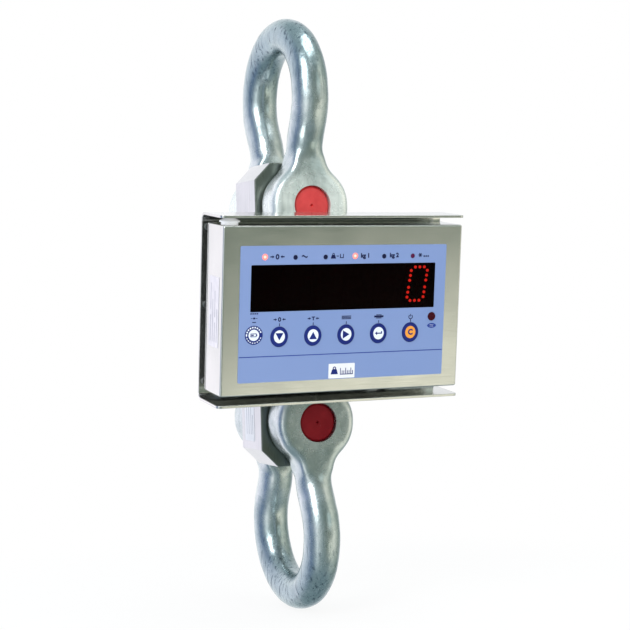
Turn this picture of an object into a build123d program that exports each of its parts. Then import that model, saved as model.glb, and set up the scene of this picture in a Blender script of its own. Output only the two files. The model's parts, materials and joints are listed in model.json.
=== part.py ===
from build123d import *
import os
from math import cos, radians, sin, sqrt, tan

os.makedirs("parts", exist_ok=True)

# Crane scale with two bow shackles. Millimetres. +Z is up along the load line, +X is to the right
# as the display is read, and the display faces -Y. The origin is the inner crown of the upper bow,
# where the crane hook bears, so the rest of the scale hangs below it.

# ---- bow shackles, 17 t pattern ----
STOCK_D = 38.5                # bar of the bow
BOW_WIDTH = 99.0              # widest inside width of the bow
JAW = 60.5                    # gap between the two ears
PIN_D = 41.4
PIN_TO_CROWN = 167.2          # pin centre to inner crown
EAR_R = 44.0
EAR_T = 37.5
NECK_R = 25.0                 # concave curve between ear and bar
LEG_STRAIGHT = 50.0           # height above the pin where the legs start to spread
EAR_OUTER_FILLET = 9.0
EAR_INNER_FILLET = 6.0
THREAD_GAP = 0.05             # pin to tapped ear, on the radius
PLAIN_GAP = 0.8               # pin to plain ear, on the radius
PIN_RECESS = 2.5              # pin end below the ear's outer face
PIN_END_CHAMFER = 2.6
PIN_CENTRE_R = 1.6            # lathe centre in the pin's end
COLLAR_R = 29.0
COLLAR_T = 11.0
HEAD_R = 27.0                 # eye head of the screw pin
HEAD_T = 20.0
HEAD_HOLE_R = 11.0
HEAD_RIM_FILLET = 2.5
HEAD_SINK = 6.0               # head circle into the collar
COLLAR_GAP = 0.4              # collar to rear ear
SPACER_R = 30.0
SPACER_GAP = 0.2              # spacer to load cell and to ear

# ---- load cell ----
PIN_HALF_PITCH = 114.0        # load-cell centre to each pin
CELL_HALF_W = 48.3
CELL_T = 54.6
CELL_HALF_H = 162.0
CELL_CORNER = 18.5
CELL_EDGE = 1.0
BORE_GAP = 0.05               # running fit on the pin, on the radius
COVER_R = 28.0                # gauge pocket cover
COVER_T = 3.0
POCKET_R = 19.0
POCKET_DEPTH = 12.0
COVER_SCREW_CIRCLE_R = 23.5

# ---- indicator housing, in its own pitched frame ----
PITCH = 7.87                  # degrees the display looks down from the horizontal
PANEL_Y = -138.0              # front-face centre, from the load line
PANEL_Z = 4.7                 # front-face centre, above the load-cell centre
HOUSING_W = 265.0
HOUSING_H = 169.0
PAN_DEPTH = 40.0
SHEET = 1.5
GASKET_T = 1.5
HOUSING_D = PAN_DEPTH + GASKET_T + SHEET
LIP_W = 12.0
FILM_T = 0.6
FILM_W = 228.5
FILM_H = 135.6
FILM_Z = -3.3
WINDOW_W = 204.6
WINDOW_H = 46.2
WINDOW_X = -0.4
WINDOW_Z = 22.5

# ---- C bracket round the housing ----
BRACKET_W = 270.0
BRACKET_T = 2.5
BRACKET_DEPTH = 55.0
BRACKET_GAP_TOP = 7.1
BRACKET_GAP_BOTTOM = 8.5
BEND_R = 8.0
TILT_HALF_W = 32.0
TILT_HALF_H = 48.0
TILT_WALL = 10.0

# ---- keys, lamps and digits, as (across, up) on the front face ----
KEY_NAMES = ("zero", "tare", "mode", "print", "power")
KEY_PITCH = 36.65
KEY_ROW_X = 2.1
KEY_ROW_Z = -26.0
KEY_RX = 9.4
KEY_RZ = 10.2
KEY_GAP = 0.2
KEY_FLANGE = 1.2
KEY_PROUD = 0.6
KEY_TRAVEL = 0.5
LAMP_PITCH = 32.76
LAMP_X = -88.5
LAMP_Z = 52.8
LAMP_R = 2.4
LAMPS = 6
LIT_LAMPS = (0, 3)
FUNCTION_LAMP = 5
DIGITS = 6
DIGIT_PITCH = 34.0
LAST_DIGIT_X = 83.7
DIGIT_Z = 23.6
DIGIT_SLANT = 8.0             # degrees
DOT_R = 1.5
DOT_T = 0.4
DOT_PITCH = 5.2
SEGMENT_X = 9.4               # upright segments either side of the digit's centre
SEGMENT_TOP = 17.3            # top and bottom segments from the digit's centre
UPRIGHT_DOTS = (3.6, 8.65, 13.7)
POINT_X = 13.2
MODULE_FRONT = 3.5            # depth of the digits' front face behind the panel
MODULE_T = 8.5
BOARD_T = 1.6
MAIN_BOARD_DEPTH = 24.0
POST_X = 106.0
POST_Z = (-4.0, 59.5)
GLAND_X = 80.0
GLAND_Z = -20.0

# ---- screws, radii of shank, tapped hole and clearance hole ----
M8_R = 4.0
M8_TAPPED_R = 4.05
M8_CLEAR_R = 4.4
M5_R = 2.5
M5_NUT_R = 2.55
M5_CLEAR_R = 2.7
M4_R = 2.0
M4_TAPPED_R = 2.05
M4_CLEAR_R = 2.2
M3_R = 1.5
M3_TAPPED_R = 1.6
M3_CLEAR_R = 1.7
POST_BORE_R = 1.25

# ---- labels ----
LABEL_W = 26.0
LABEL_H = 70.0
LABEL_T = 0.25
CELL_LABEL_Y = 4.6
CELL_LABEL_DROP = 100.0       # label centre below the load-cell centre
RATING_LABEL_PLACE = (21.0, -2.0)
PLATE_PLACE = (-1.4, -62.9)
PLATE_W = 29.2
PLATE_H = 15.0
PLATE_T = 0.3

# ---- places worked out from the sizes above ----
UPPER_PIN_Z = -PIN_TO_CROWN
CELL_Z = UPPER_PIN_Z - PIN_HALF_PITCH
LOWER_PIN_Z = CELL_Z - PIN_HALF_PITCH
EAR_FACE_Y = JAW / 2 + EAR_T
CELL_FACE_Y = CELL_T / 2
DOWN = cos(radians(PITCH))
LEAN = sin(radians(PITCH))
PANEL_ORIGIN = (0, PANEL_Y, CELL_Z + PANEL_Z)

# The housing's three directions: out of the display, along its depth, and up its face.
FRONT = Plane(origin=PANEL_ORIGIN, x_dir=(1, 0, 0), z_dir=(0, -DOWN, -LEAN))
SIDE = Plane(origin=PANEL_ORIGIN, x_dir=(0, DOWN, LEAN), z_dir=(1, 0, 0))
TOP = Plane(origin=PANEL_ORIGIN, x_dir=(1, 0, 0), z_dir=(0, -LEAN, DOWN))


def panel(depth):
    """Plane parallel to the display face, a depth behind it, facing the reader."""
    return FRONT.offset(-depth)


def panel_back(depth):
    """The same plane facing the load cell; its local x runs towards -X."""
    return Plane(origin=panel(depth).origin, x_dir=(-1, 0, 0), z_dir=(0, DOWN, LEAN))


def socket_screws(plane, places, shank_r, length, head_r, head_h):
    """Socket-head screws seated on a plane, with their heads on its outer side."""
    with BuildPart() as screws:
        with BuildSketch(plane):
            with Locations(*places):
                Circle(shank_r)
        extrude(amount=-length)
        with BuildSketch(plane):
            with Locations(*places):
                Circle(head_r)
        extrude(amount=head_h)
        chamfer(screws.faces().group_by(Axis(plane.origin, plane.z_dir))[-1].edges(), length=0.4)
        with BuildSketch(plane.offset(head_h)):
            with Locations(*places):
                RegularPolygon(radius=head_r * 0.55, side_count=6)
        extrude(amount=-head_h * 0.6, mode=Mode.SUBTRACT)
    return screws


# ============================ shackles ============================

def make_bow(pin_z, up):
    """Forged bow: two drilled ears joined by a round bar. up is +1 with the crown above the pin."""
    bar_y = (BOW_WIDTH + STOCK_D) / 2
    leg_y = (JAW + EAR_T) / 2
    crown_centre = pin_z + up * (PIN_TO_CROWN - BOW_WIDTH / 2)
    leg_root = pin_z + up * 32.0
    leg_top = pin_z + up * LEG_STRAIGHT
    half = STOCK_D / 2
    neck_rise = sqrt((EAR_R + NECK_R) ** 2 - (half + NECK_R) ** 2)
    meet = EAR_R / (EAR_R + NECK_R)
    meet_x = (half + NECK_R) * meet
    meet_z = pin_z + up * neck_rise * meet
    neck_z = pin_z + up * neck_rise
    tail_half = 8.0
    tail_z = pin_z + up * (neck_rise + 14.0)
    with BuildPart() as bow:
        for side in (1, -1):
            with BuildSketch(Plane.XZ.offset(side * JAW / 2)):
                with BuildLine():
                    lobe = ThreePointArc((meet_x, meet_z), (0, pin_z - up * EAR_R), (-meet_x, meet_z))
                    left = TangentArc(lobe @ 1, (-half, neck_z), tangent=lobe % 1)
                    tail_left = Line(left @ 1, (-tail_half, tail_z))
                    tail = Line(tail_left @ 1, (tail_half, tail_z))
                    tail_right = Line(tail @ 1, (half, neck_z))
                    TangentArc(lobe @ 0, tail_right @ 1, tangent=-(lobe % 0))
                make_face()
            extrude(amount=side * EAR_T)
        rims = bow.faces().filter_by(Axis.Y).sort_by(Axis.Y)
        fillet(rims[0].edges() + rims[3].edges(), radius=EAR_OUTER_FILLET)
        rims = bow.faces().filter_by(Axis.Y).sort_by(Axis.Y)
        fillet(rims[1].edges() + rims[2].edges(), radius=EAR_INNER_FILLET)
        with BuildLine(Plane.YZ) as bar:
            front_leg = Line((-leg_y, leg_root), (-leg_y, leg_top))
            front = Spline(front_leg @ 1, (-bar_y, crown_centre), tangents=((0, up), (0, up)))
            crown = ThreePointArc(front @ 1, (0, crown_centre + up * bar_y), (bar_y, crown_centre))
            rear = Spline(crown @ 1, (leg_y, leg_top), tangents=((0, -up), (0, -up)))
            Line(rear @ 1, (leg_y, leg_root))
        with BuildSketch(Plane(origin=bar.line @ 0, z_dir=bar.line % 0)):
            Circle(half)
        sweep(path=bar.line)
        with BuildSketch(Plane.XZ):
            with Locations((0, pin_z)):
                Circle(PIN_D / 2 + THREAD_GAP)
        extrude(amount=EAR_FACE_Y + 1, mode=Mode.SUBTRACT)
        with BuildSketch(Plane.XZ):
            with Locations((0, pin_z)):
                Circle(PIN_D / 2 + PLAIN_GAP)
        extrude(amount=-EAR_FACE_Y - 1, mode=Mode.SUBTRACT)
        circles = bow.edges().filter_by(GeomType.CIRCLE)
        tapped = circles.filter_by(lambda edge: abs(edge.radius - PIN_D / 2 - THREAD_GAP) < 0.001)
        chamfer(tapped.sort_by(Axis.Y)[0], length=1.2)
    return bow


def make_pin(pin_z):
    """Screw pin: turned shank, collar against the rear ear, and a flat eye head behind it."""
    end_y = EAR_FACE_Y - PIN_RECESS
    collar_y = EAR_FACE_Y + COLLAR_GAP
    head_y = collar_y + COLLAR_T + HEAD_R - HEAD_SINK
    with BuildPart() as pin:
        with BuildSketch(Plane.XZ.offset(end_y)):
            with Locations((0, pin_z)):
                Circle(PIN_D / 2)
        extrude(amount=-(end_y + collar_y))
        chamfer(pin.edges().group_by(Axis.Y)[0], length=PIN_END_CHAMFER)
        with BuildSketch(Plane.XZ.offset(-collar_y)):
            with Locations((0, pin_z)):
                Circle(COLLAR_R)
        extrude(amount=-COLLAR_T)
        fillet(pin.edges().group_by(Axis.Y)[-1], radius=3)
        with BuildSketch(Plane.YZ):
            with Locations((head_y, pin_z)):
                Circle(HEAD_R)
            with Locations((collar_y + COLLAR_T - 0.5 + HEAD_R / 4, pin_z)):
                Rectangle(HEAD_R / 2, 2 * COLLAR_R - 16)
            with Locations((head_y, pin_z)):
                Circle(HEAD_HOLE_R, mode=Mode.SUBTRACT)
        extrude(amount=HEAD_T / 2, both=True)
        eye_faces = pin.faces().filter_by(Axis.X).sort_by(Axis.X)
        rims = eye_faces[0].edges() + eye_faces[-1].edges()
        fillet(rims.filter_by(GeomType.CIRCLE), radius=HEAD_RIM_FILLET)
        with BuildSketch(Plane.XZ.offset(end_y)):
            with Locations((0, pin_z)):
                Circle(PIN_CENTRE_R)
        extrude(amount=-3, taper=25, mode=Mode.SUBTRACT)
    return pin


def make_spacers(pin_z):
    """Two rings on a pin that keep the load cell in the middle of the jaw."""
    thickness = JAW / 2 - CELL_FACE_Y - 2 * SPACER_GAP
    with BuildPart() as spacers:
        for side in (1, -1):
            with BuildSketch(Plane.XZ.offset(side * (CELL_FACE_Y + SPACER_GAP))):
                with Locations((0, pin_z)):
                    Circle(SPACER_R)
                    Circle(PIN_D / 2 + PLAIN_GAP, mode=Mode.SUBTRACT)
            extrude(amount=side * thickness)
    return spacers


upper_bow = make_bow(UPPER_PIN_Z, 1)
upper_bow.part.label = "upper_shackle_bow"
export_step(upper_bow.part, "parts/upper_shackle_bow.step")

upper_pin = make_pin(UPPER_PIN_Z)
upper_pin.part.label = "upper_shackle_pin"
export_step(upper_pin.part, "parts/upper_shackle_pin.step")

upper_spacers = make_spacers(UPPER_PIN_Z)
upper_spacers.part.label = "upper_pin_spacers"
export_step(upper_spacers.part, "parts/upper_pin_spacers.step")

lower_bow = make_bow(LOWER_PIN_Z, -1)
lower_bow.part.label = "lower_shackle_bow"
export_step(lower_bow.part, "parts/lower_shackle_bow.step")

lower_pin = make_pin(LOWER_PIN_Z)
lower_pin.part.label = "lower_shackle_pin"
export_step(lower_pin.part, "parts/lower_shackle_pin.step")

lower_spacers = make_spacers(LOWER_PIN_Z)
lower_spacers.part.label = "lower_pin_spacers"
export_step(lower_spacers.part, "parts/lower_pin_spacers.step")


# ============================ load cell ============================

CELL_FRONT = Plane(origin=(0, -CELL_FACE_Y, CELL_Z), x_dir=(1, 0, 0), z_dir=(0, -1, 0))
CELL_REAR = Plane(origin=(0, CELL_FACE_Y, CELL_Z), x_dir=(-1, 0, 0), z_dir=(0, 1, 0))
CELL_RIGHT = Plane(origin=(CELL_HALF_W, 0, CELL_Z), x_dir=(0, 1, 0), z_dir=(1, 0, 0))
CELL_BOLTS = [(x, z) for x in (-22, 22) for z in (-28, 28)]
COVER_SCREWS = [(COVER_SCREW_CIRCLE_R * cos(radians(a)), COVER_SCREW_CIRCLE_R * sin(radians(a)))
                for a in (45, 135, 225, 315)]
COVER_SEAT = COVER_T + 0.2
CELL_BOLT_DEPTH = 16.0
GLAND_THREAD_R = 8.0
GLAND_THREAD_DEPTH = 10.0
WIRE_WAY_R = 3.0
WIRE_WAY_X = 14.0

with BuildPart() as load_cell:
    with BuildSketch(Plane.XZ) as cell_outline:
        with Locations((0, CELL_Z)):
            Rectangle(2 * CELL_HALF_W, 2 * CELL_HALF_H)
        chamfer(cell_outline.vertices(), length=CELL_CORNER)
    extrude(amount=CELL_FACE_Y, both=True)
    chamfer(load_cell.faces().filter_by(Axis.Y).edges(), length=CELL_EDGE)
    with BuildSketch(Plane.XZ):
        with Locations((0, UPPER_PIN_Z), (0, LOWER_PIN_Z)):
            Circle(PIN_D / 2 + BORE_GAP)
    extrude(amount=CELL_FACE_Y, both=True, mode=Mode.SUBTRACT)
    for face in (CELL_FRONT, CELL_REAR):
        with BuildSketch(face):
            Circle(COVER_R)
        extrude(amount=-COVER_SEAT, mode=Mode.SUBTRACT)
        with BuildSketch(face):
            Circle(POCKET_R)
            with Locations(*COVER_SCREWS):
                Circle(M3_TAPPED_R)
        extrude(amount=-POCKET_DEPTH, mode=Mode.SUBTRACT)
    with BuildSketch(CELL_FRONT):
        with Locations(*CELL_BOLTS):
            Circle(M8_TAPPED_R)
    extrude(amount=-CELL_BOLT_DEPTH, mode=Mode.SUBTRACT)
    with BuildSketch(CELL_RIGHT):
        Circle(GLAND_THREAD_R)
    extrude(amount=-GLAND_THREAD_DEPTH, mode=Mode.SUBTRACT)
    with BuildSketch(CELL_RIGHT):
        Circle(WIRE_WAY_R)
    extrude(amount=WIRE_WAY_X - CELL_HALF_W, mode=Mode.SUBTRACT)
    with BuildSketch(Plane.XZ):
        with Locations((WIRE_WAY_X, CELL_Z)):
            Circle(WIRE_WAY_R)
    extrude(amount=CELL_FACE_Y - POCKET_DEPTH, both=True, mode=Mode.SUBTRACT)
load_cell.part.label = "load_cell"
export_step(load_cell.part, "parts/load_cell.step")

# Foil gauges bonded to the floors of both pockets.
with BuildPart() as strain_gauges:
    for face in (CELL_FRONT, CELL_REAR):
        with BuildSketch(face.offset(-POCKET_DEPTH)):
            with Locations((-7, 7), (-7, -7)):
                Rectangle(9, 6, rotation=45)
        extrude(amount=0.3)
strain_gauges.part.label = "strain_gauges"
export_step(strain_gauges.part, "parts/strain_gauges.step")

# Small trimming board in the front pocket, held off the floor by the wires.
with BuildPart() as gauge_board:
    with BuildSketch(CELL_FRONT.offset(-7)):
        Circle(16)
        with Locations((WIRE_WAY_X - 1, 0)):
            Rectangle(10, 10, mode=Mode.SUBTRACT)
    extrude(amount=BOARD_T)
gauge_board.part.label = "gauge_board"
export_step(gauge_board.part, "parts/gauge_board.step")


def make_gauge_cover(face):
    """Round steel cover sunk flush in the load cell's face."""
    with BuildPart() as cover:
        with BuildSketch(face.offset(-COVER_SEAT)):
            Circle(COVER_R - 0.1)
        extrude(amount=COVER_T)
        with Locations(face.offset(COVER_T - COVER_SEAT)):
            with Locations(*COVER_SCREWS):
                CounterSinkHole(radius=M3_CLEAR_R, counter_sink_radius=3.1, depth=COVER_T)
    return cover


front_gauge_cover = make_gauge_cover(CELL_FRONT)
front_gauge_cover.part.label = "front_gauge_cover"
export_step(front_gauge_cover.part, "parts/front_gauge_cover.step")

rear_gauge_cover = make_gauge_cover(CELL_REAR)
rear_gauge_cover.part.label = "rear_gauge_cover"
export_step(rear_gauge_cover.part, "parts/rear_gauge_cover.step")

with BuildPart() as gauge_cover_screws:
    for face in (CELL_FRONT, CELL_REAR):
        head_plane = face.offset(COVER_T - COVER_SEAT - 0.1)
        with BuildSketch(head_plane):
            with Locations(*COVER_SCREWS):
                Circle(2.9)
        extrude(amount=-1.5, taper=41)
        with BuildSketch(head_plane):
            with Locations(*COVER_SCREWS):
                Circle(M3_R)
        extrude(amount=-10)
        with BuildSketch(head_plane):
            with Locations(*COVER_SCREWS):
                RegularPolygon(radius=1.2, side_count=6)
        extrude(amount=-0.9, mode=Mode.SUBTRACT)
gauge_cover_screws.part.label = "gauge_cover_screws"
export_step(gauge_cover_screws.part, "parts/gauge_cover_screws.step")


def make_gland(seat, thread_r, thread_l, hex_r, cable_r):
    """Cable gland on its seat plane: thread inside, hex body, domed nut and a bore for the cable."""
    with BuildPart() as gland:
        with BuildSketch(seat):
            Circle(thread_r)
        extrude(amount=-thread_l)
        with BuildSketch(seat):
            RegularPolygon(radius=hex_r, side_count=6)
        extrude(amount=5)
        with BuildSketch(seat.offset(5)):
            Circle(hex_r * 0.8)
        extrude(amount=2)
        with BuildSketch(seat.offset(7)):
            RegularPolygon(radius=hex_r, side_count=6)
        extrude(amount=8)
        with BuildSketch(seat.offset(15)):
            Circle(hex_r * 0.84)
        extrude(amount=5, taper=24)
        with BuildSketch(seat.offset(20)):
            Circle(cable_r)
        extrude(amount=-20 - thread_l, mode=Mode.SUBTRACT)
    return gland


CABLE_R = 2.8
GLAND_BORE_R = CABLE_R + 0.1
GLAND_L = 20.0

cell_cable_gland = make_gland(CELL_RIGHT, GLAND_THREAD_R - 0.1, GLAND_THREAD_DEPTH - 1, 10.5, GLAND_BORE_R)
cell_cable_gland.part.label = "cell_cable_gland"
export_step(cell_cable_gland.part, "parts/cell_cable_gland.step")

with BuildPart() as cell_label:
    with BuildSketch(Plane.YZ.offset(-CELL_HALF_W)):
        with Locations((CELL_LABEL_Y, CELL_Z - CELL_LABEL_DROP)):
            RectangleRounded(LABEL_W, LABEL_H, 1)
    extrude(amount=-LABEL_T)
cell_label.part.label = "cell_label"
export_step(cell_label.part, "parts/cell_label.step")


# ============================ tilt frame and C bracket ============================

def web_rear_y(height):
    """Y of the bracket's rear face at a height above the load-cell centre."""
    up_face = (height - PANEL_Z - BRACKET_DEPTH * LEAN) / DOWN
    return PANEL_Y + BRACKET_DEPTH * DOWN - up_face * LEAN


BRACKET_BOLTS = [(x, z) for x in (-20, 20) for z in (-42, 18)]
MOUNT_POINTS = [(x, z) for x in (-95, 95) for z in (-48, 52)]
GLAND_HOLE_R = 17.0
SOCKET_HOLE_R = 17.0

with BuildPart() as tilt_frame:
    with BuildSketch(Plane.YZ):
        with BuildLine():
            Polyline((-CELL_FACE_Y, CELL_Z - TILT_HALF_H),
                     (-CELL_FACE_Y, CELL_Z + TILT_HALF_H),
                     (web_rear_y(TILT_HALF_H), CELL_Z + TILT_HALF_H),
                     (web_rear_y(-TILT_HALF_H), CELL_Z - TILT_HALF_H), close=True)
        make_face()
        inside_h = TILT_HALF_H - TILT_WALL
        with BuildLine():
            Polyline((-CELL_FACE_Y - TILT_WALL, CELL_Z - inside_h),
                     (-CELL_FACE_Y - TILT_WALL, CELL_Z + inside_h),
                     (web_rear_y(inside_h) + TILT_WALL, CELL_Z + inside_h),
                     (web_rear_y(-inside_h) + TILT_WALL, CELL_Z - inside_h), close=True)
        make_face(mode=Mode.SUBTRACT)
    extrude(amount=TILT_HALF_W, both=True)
    fillet(tilt_frame.edges().filter_by(Axis.X), radius=3)
    with BuildSketch(CELL_FRONT):
        with Locations(*CELL_BOLTS):
            Circle(M8_CLEAR_R)
    extrude(amount=TILT_WALL + 1, mode=Mode.SUBTRACT)
    with BuildSketch(panel(BRACKET_DEPTH)):
        with Locations(*BRACKET_BOLTS):
            Circle(M8_TAPPED_R)
    extrude(amount=-TILT_WALL - 1, mode=Mode.SUBTRACT)
tilt_frame.part.label = "tilt_frame"
export_step(tilt_frame.part, "parts/tilt_frame.step")

cell_bolts = socket_screws(CELL_FRONT.offset(TILT_WALL), CELL_BOLTS, M8_R, 24, 6.5, 8)
cell_bolts.part.label = "cell_bolts"
export_step(cell_bolts.part, "parts/cell_bolts.step")

with BuildPart() as c_bracket:
    top_out = HOUSING_H / 2 + BRACKET_GAP_TOP + BRACKET_T
    bottom_out = -HOUSING_H / 2 - BRACKET_GAP_BOTTOM - BRACKET_T
    top_in = top_out - BRACKET_T
    bottom_in = bottom_out + BRACKET_T
    web_in = BRACKET_DEPTH - BRACKET_T
    with BuildSketch(SIDE):
        with BuildLine():
            FilletPolyline((0, top_out), (BRACKET_DEPTH, top_out), (BRACKET_DEPTH, bottom_out),
                           (0, bottom_out), radius=BEND_R)
            Line((0, bottom_out), (0, bottom_in))
            FilletPolyline((0, bottom_in), (web_in, bottom_in), (web_in, top_in), (0, top_in),
                           radius=BEND_R - BRACKET_T)
            Line((0, top_in), (0, top_out))
        make_face()
    extrude(amount=BRACKET_W / 2, both=True)
    corners = c_bracket.edges().filter_by(Axis(PANEL_ORIGIN, TOP.z_dir))
    fillet(corners.group_by(Axis(PANEL_ORIGIN, FRONT.z_dir))[-1], radius=5)
    with BuildSketch(panel(BRACKET_DEPTH)):
        with Locations(*BRACKET_BOLTS):
            Circle(M8_CLEAR_R)
        with Locations(*MOUNT_POINTS):
            Circle(M5_CLEAR_R)
        with Locations((GLAND_X, GLAND_Z)):
            Circle(GLAND_HOLE_R)
        with Locations((-GLAND_X, GLAND_Z)):
            Circle(SOCKET_HOLE_R)
    extrude(amount=BRACKET_T + 1, mode=Mode.SUBTRACT)
c_bracket.part.label = "c_bracket"
export_step(c_bracket.part, "parts/c_bracket.step")

bracket_bolts = socket_screws(panel(BRACKET_DEPTH - BRACKET_T), BRACKET_BOLTS, M8_R, 12, 7.0, 4.5)
bracket_bolts.part.label = "bracket_bolts"
export_step(bracket_bolts.part, "parts/bracket_bolts.step")

with BuildPart() as housing_standoffs:
    with BuildSketch(panel(HOUSING_D)):
        with Locations(*MOUNT_POINTS):
            Circle(7)
            Circle(M5_CLEAR_R, mode=Mode.SUBTRACT)
    extrude(amount=-(BRACKET_DEPTH - BRACKET_T - HOUSING_D))
housing_standoffs.part.label = "housing_standoffs"
export_step(housing_standoffs.part, "parts/housing_standoffs.step")

mirrored_mounts = [(-x, z) for x, z in MOUNT_POINTS]
housing_screws = socket_screws(panel_back(BRACKET_DEPTH), mirrored_mounts, M5_R, 18, 4.5, 4)
housing_screws.part.label = "housing_screws"
export_step(housing_screws.part, "parts/housing_screws.step")

# Nuts pressed on the inside of the rear cover.
with BuildPart() as housing_nuts:
    with BuildSketch(panel(PAN_DEPTH + GASKET_T)):
        with Locations(*MOUNT_POINTS):
            RegularPolygon(radius=4.6, side_count=6)
            Circle(M5_NUT_R, mode=Mode.SUBTRACT)
    extrude(amount=4)
housing_nuts.part.label = "housing_nuts"
export_step(housing_nuts.part, "parts/housing_nuts.step")


# ============================ housing ============================

def key_places():
    """Centres of the five keys on the front face."""
    return [(KEY_ROW_X + KEY_PITCH * (i - 2), KEY_ROW_Z) for i in range(len(KEY_NAMES))]


def lamp_places(indices):
    """Centres of the chosen status lamps."""
    return [(LAMP_X + LAMP_PITCH * i, LAMP_Z) for i in indices]


RECEIVER_PLACE = (99.8, -10.2)
RECEIVER_R = 4.4
VENT_X = -118.5
VENT_DEPTH = 20.0
VENT_R = 10.4
VENT_DOME_H = 4.2
VENT_NECK_R = 8.6             # neck under the dome
VENT_NECK_H = 2.2
VENT_SHANK_R = 6.0
VENT_SHANK_L = 7.0
SOCKET_R = 8.0
COVER_SCREW_PLACES = ([(x, z) for x in (-125.5, 125.5) for z in (-78.5, 0, 78.5)]
                      + [(0, z) for z in (-78.5, 78.5)])

with BuildPart() as housing_front:
    with BuildSketch(panel(0)):
        RectangleRounded(HOUSING_W, HOUSING_H, 2.2)
    extrude(amount=-PAN_DEPTH)
    front_rim = housing_front.faces().sort_by(Axis(PANEL_ORIGIN, FRONT.z_dir))[-1].edges()
    fillet(front_rim, radius=1.8)
    back_face = housing_front.faces().sort_by(Axis(PANEL_ORIGIN, FRONT.z_dir))[0]
    offset(amount=-SHEET, openings=back_face)
    with BuildSketch(panel(PAN_DEPTH - SHEET)):
        RectangleRounded(HOUSING_W - SHEET, HOUSING_H - SHEET, 1.4)
        RectangleRounded(HOUSING_W - 2 * LIP_W, HOUSING_H - 2 * LIP_W, 3, mode=Mode.SUBTRACT)
        with Locations(*COVER_SCREW_PLACES):
            Circle(M4_TAPPED_R, mode=Mode.SUBTRACT)
    extrude(amount=-SHEET)
    with BuildSketch(panel(0)) as front_openings:
        with Locations((WINDOW_X, WINDOW_Z)):
            RectangleRounded(WINDOW_W + 0.4, WINDOW_H + 0.4, 1)
        with Locations(*key_places()):
            Ellipse(KEY_RX + KEY_GAP, KEY_RZ + KEY_GAP)
        with Locations(*lamp_places(range(LAMPS))):
            Circle(LAMP_R + 0.1)
        with Locations(RECEIVER_PLACE):
            Circle(RECEIVER_R + 0.1)
    extrude(amount=-SHEET, mode=Mode.SUBTRACT)
    with BuildSketch(TOP.offset(HOUSING_H / 2)):
        with Locations((VENT_X, VENT_DEPTH)):
            Circle(VENT_SHANK_R + 0.2)
    extrude(amount=-SHEET, mode=Mode.SUBTRACT)
housing_front.part.label = "housing_front"
export_step(housing_front.part, "parts/housing_front.step")

with BuildPart() as cover_gasket:
    with BuildSketch(panel(PAN_DEPTH)):
        RectangleRounded(HOUSING_W - 3, HOUSING_H - 3, 2)
        RectangleRounded(HOUSING_W - 2 * LIP_W, HOUSING_H - 2 * LIP_W, 3, mode=Mode.SUBTRACT)
        with Locations(*COVER_SCREW_PLACES):
            Circle(M4_CLEAR_R, mode=Mode.SUBTRACT)
    extrude(amount=-GASKET_T)
cover_gasket.part.label = "cover_gasket"
export_step(cover_gasket.part, "parts/cover_gasket.step")

with BuildPart() as housing_rear_cover:
    with BuildSketch(panel(PAN_DEPTH + GASKET_T)):
        RectangleRounded(HOUSING_W, HOUSING_H, 2.2)
        with Locations(*COVER_SCREW_PLACES):
            Circle(M4_CLEAR_R, mode=Mode.SUBTRACT)
        with Locations(*MOUNT_POINTS):
            Circle(M5_CLEAR_R, mode=Mode.SUBTRACT)
        with Locations((GLAND_X, GLAND_Z)):
            Circle(GLAND_THREAD_R, mode=Mode.SUBTRACT)
        with Locations((-GLAND_X, GLAND_Z)):
            Circle(SOCKET_R + 0.2, mode=Mode.SUBTRACT)
    extrude(amount=-SHEET)
housing_rear_cover.part.label = "housing_rear_cover"
export_step(housing_rear_cover.part, "parts/housing_rear_cover.step")

mirrored_cover_places = [(-x, z) for x, z in COVER_SCREW_PLACES]
cover_screws = socket_screws(panel_back(HOUSING_D), mirrored_cover_places, M4_R, 8, 3.5, 2.4)
cover_screws.part.label = "cover_screws"
export_step(cover_screws.part, "parts/cover_screws.step")


def rear_spot(x, z, depth):
    """Plane facing the load cell, centred on a point of the housing's own grid."""
    spot = panel(depth).from_local_coords((x, z, 0))
    return Plane(origin=spot, x_dir=(-1, 0, 0), z_dir=(0, DOWN, LEAN))


gland_seat = rear_spot(GLAND_X, GLAND_Z, HOUSING_D)
indicator_gland = make_gland(gland_seat, GLAND_THREAD_R - 0.1, 6, 11.5, GLAND_BORE_R)
indicator_gland.part.label = "indicator_gland"
export_step(indicator_gland.part, "parts/indicator_gland.step")

# Signal cable from the load cell's side to the back of the housing.
with BuildPart() as signal_cable:
    with BuildLine() as cable_run:
        cell_end = (CELL_HALF_W + 4, 0, CELL_Z)
        cell_mouth = (CELL_HALF_W + GLAND_L + 1, 0, CELL_Z)
        housing_end = gland_seat.offset(-4).origin
        housing_mouth = gland_seat.offset(GLAND_L + 1).origin
        Line(cell_end, cell_mouth)
        Spline(cell_mouth, housing_mouth, tangents=((1, 0, 0), (0, -DOWN, -LEAN)),
               tangent_scalars=(1.6, 0.9))
        Line(housing_mouth, housing_end)
    with BuildSketch(Plane(origin=cell_end, z_dir=(1, 0, 0))):
        Circle(CABLE_R)
    sweep(path=cable_run.line)
signal_cable.part.label = "signal_cable"
export_step(signal_cable.part, "parts/signal_cable.step")

socket_seat = rear_spot(-GLAND_X, GLAND_Z, HOUSING_D)

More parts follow.
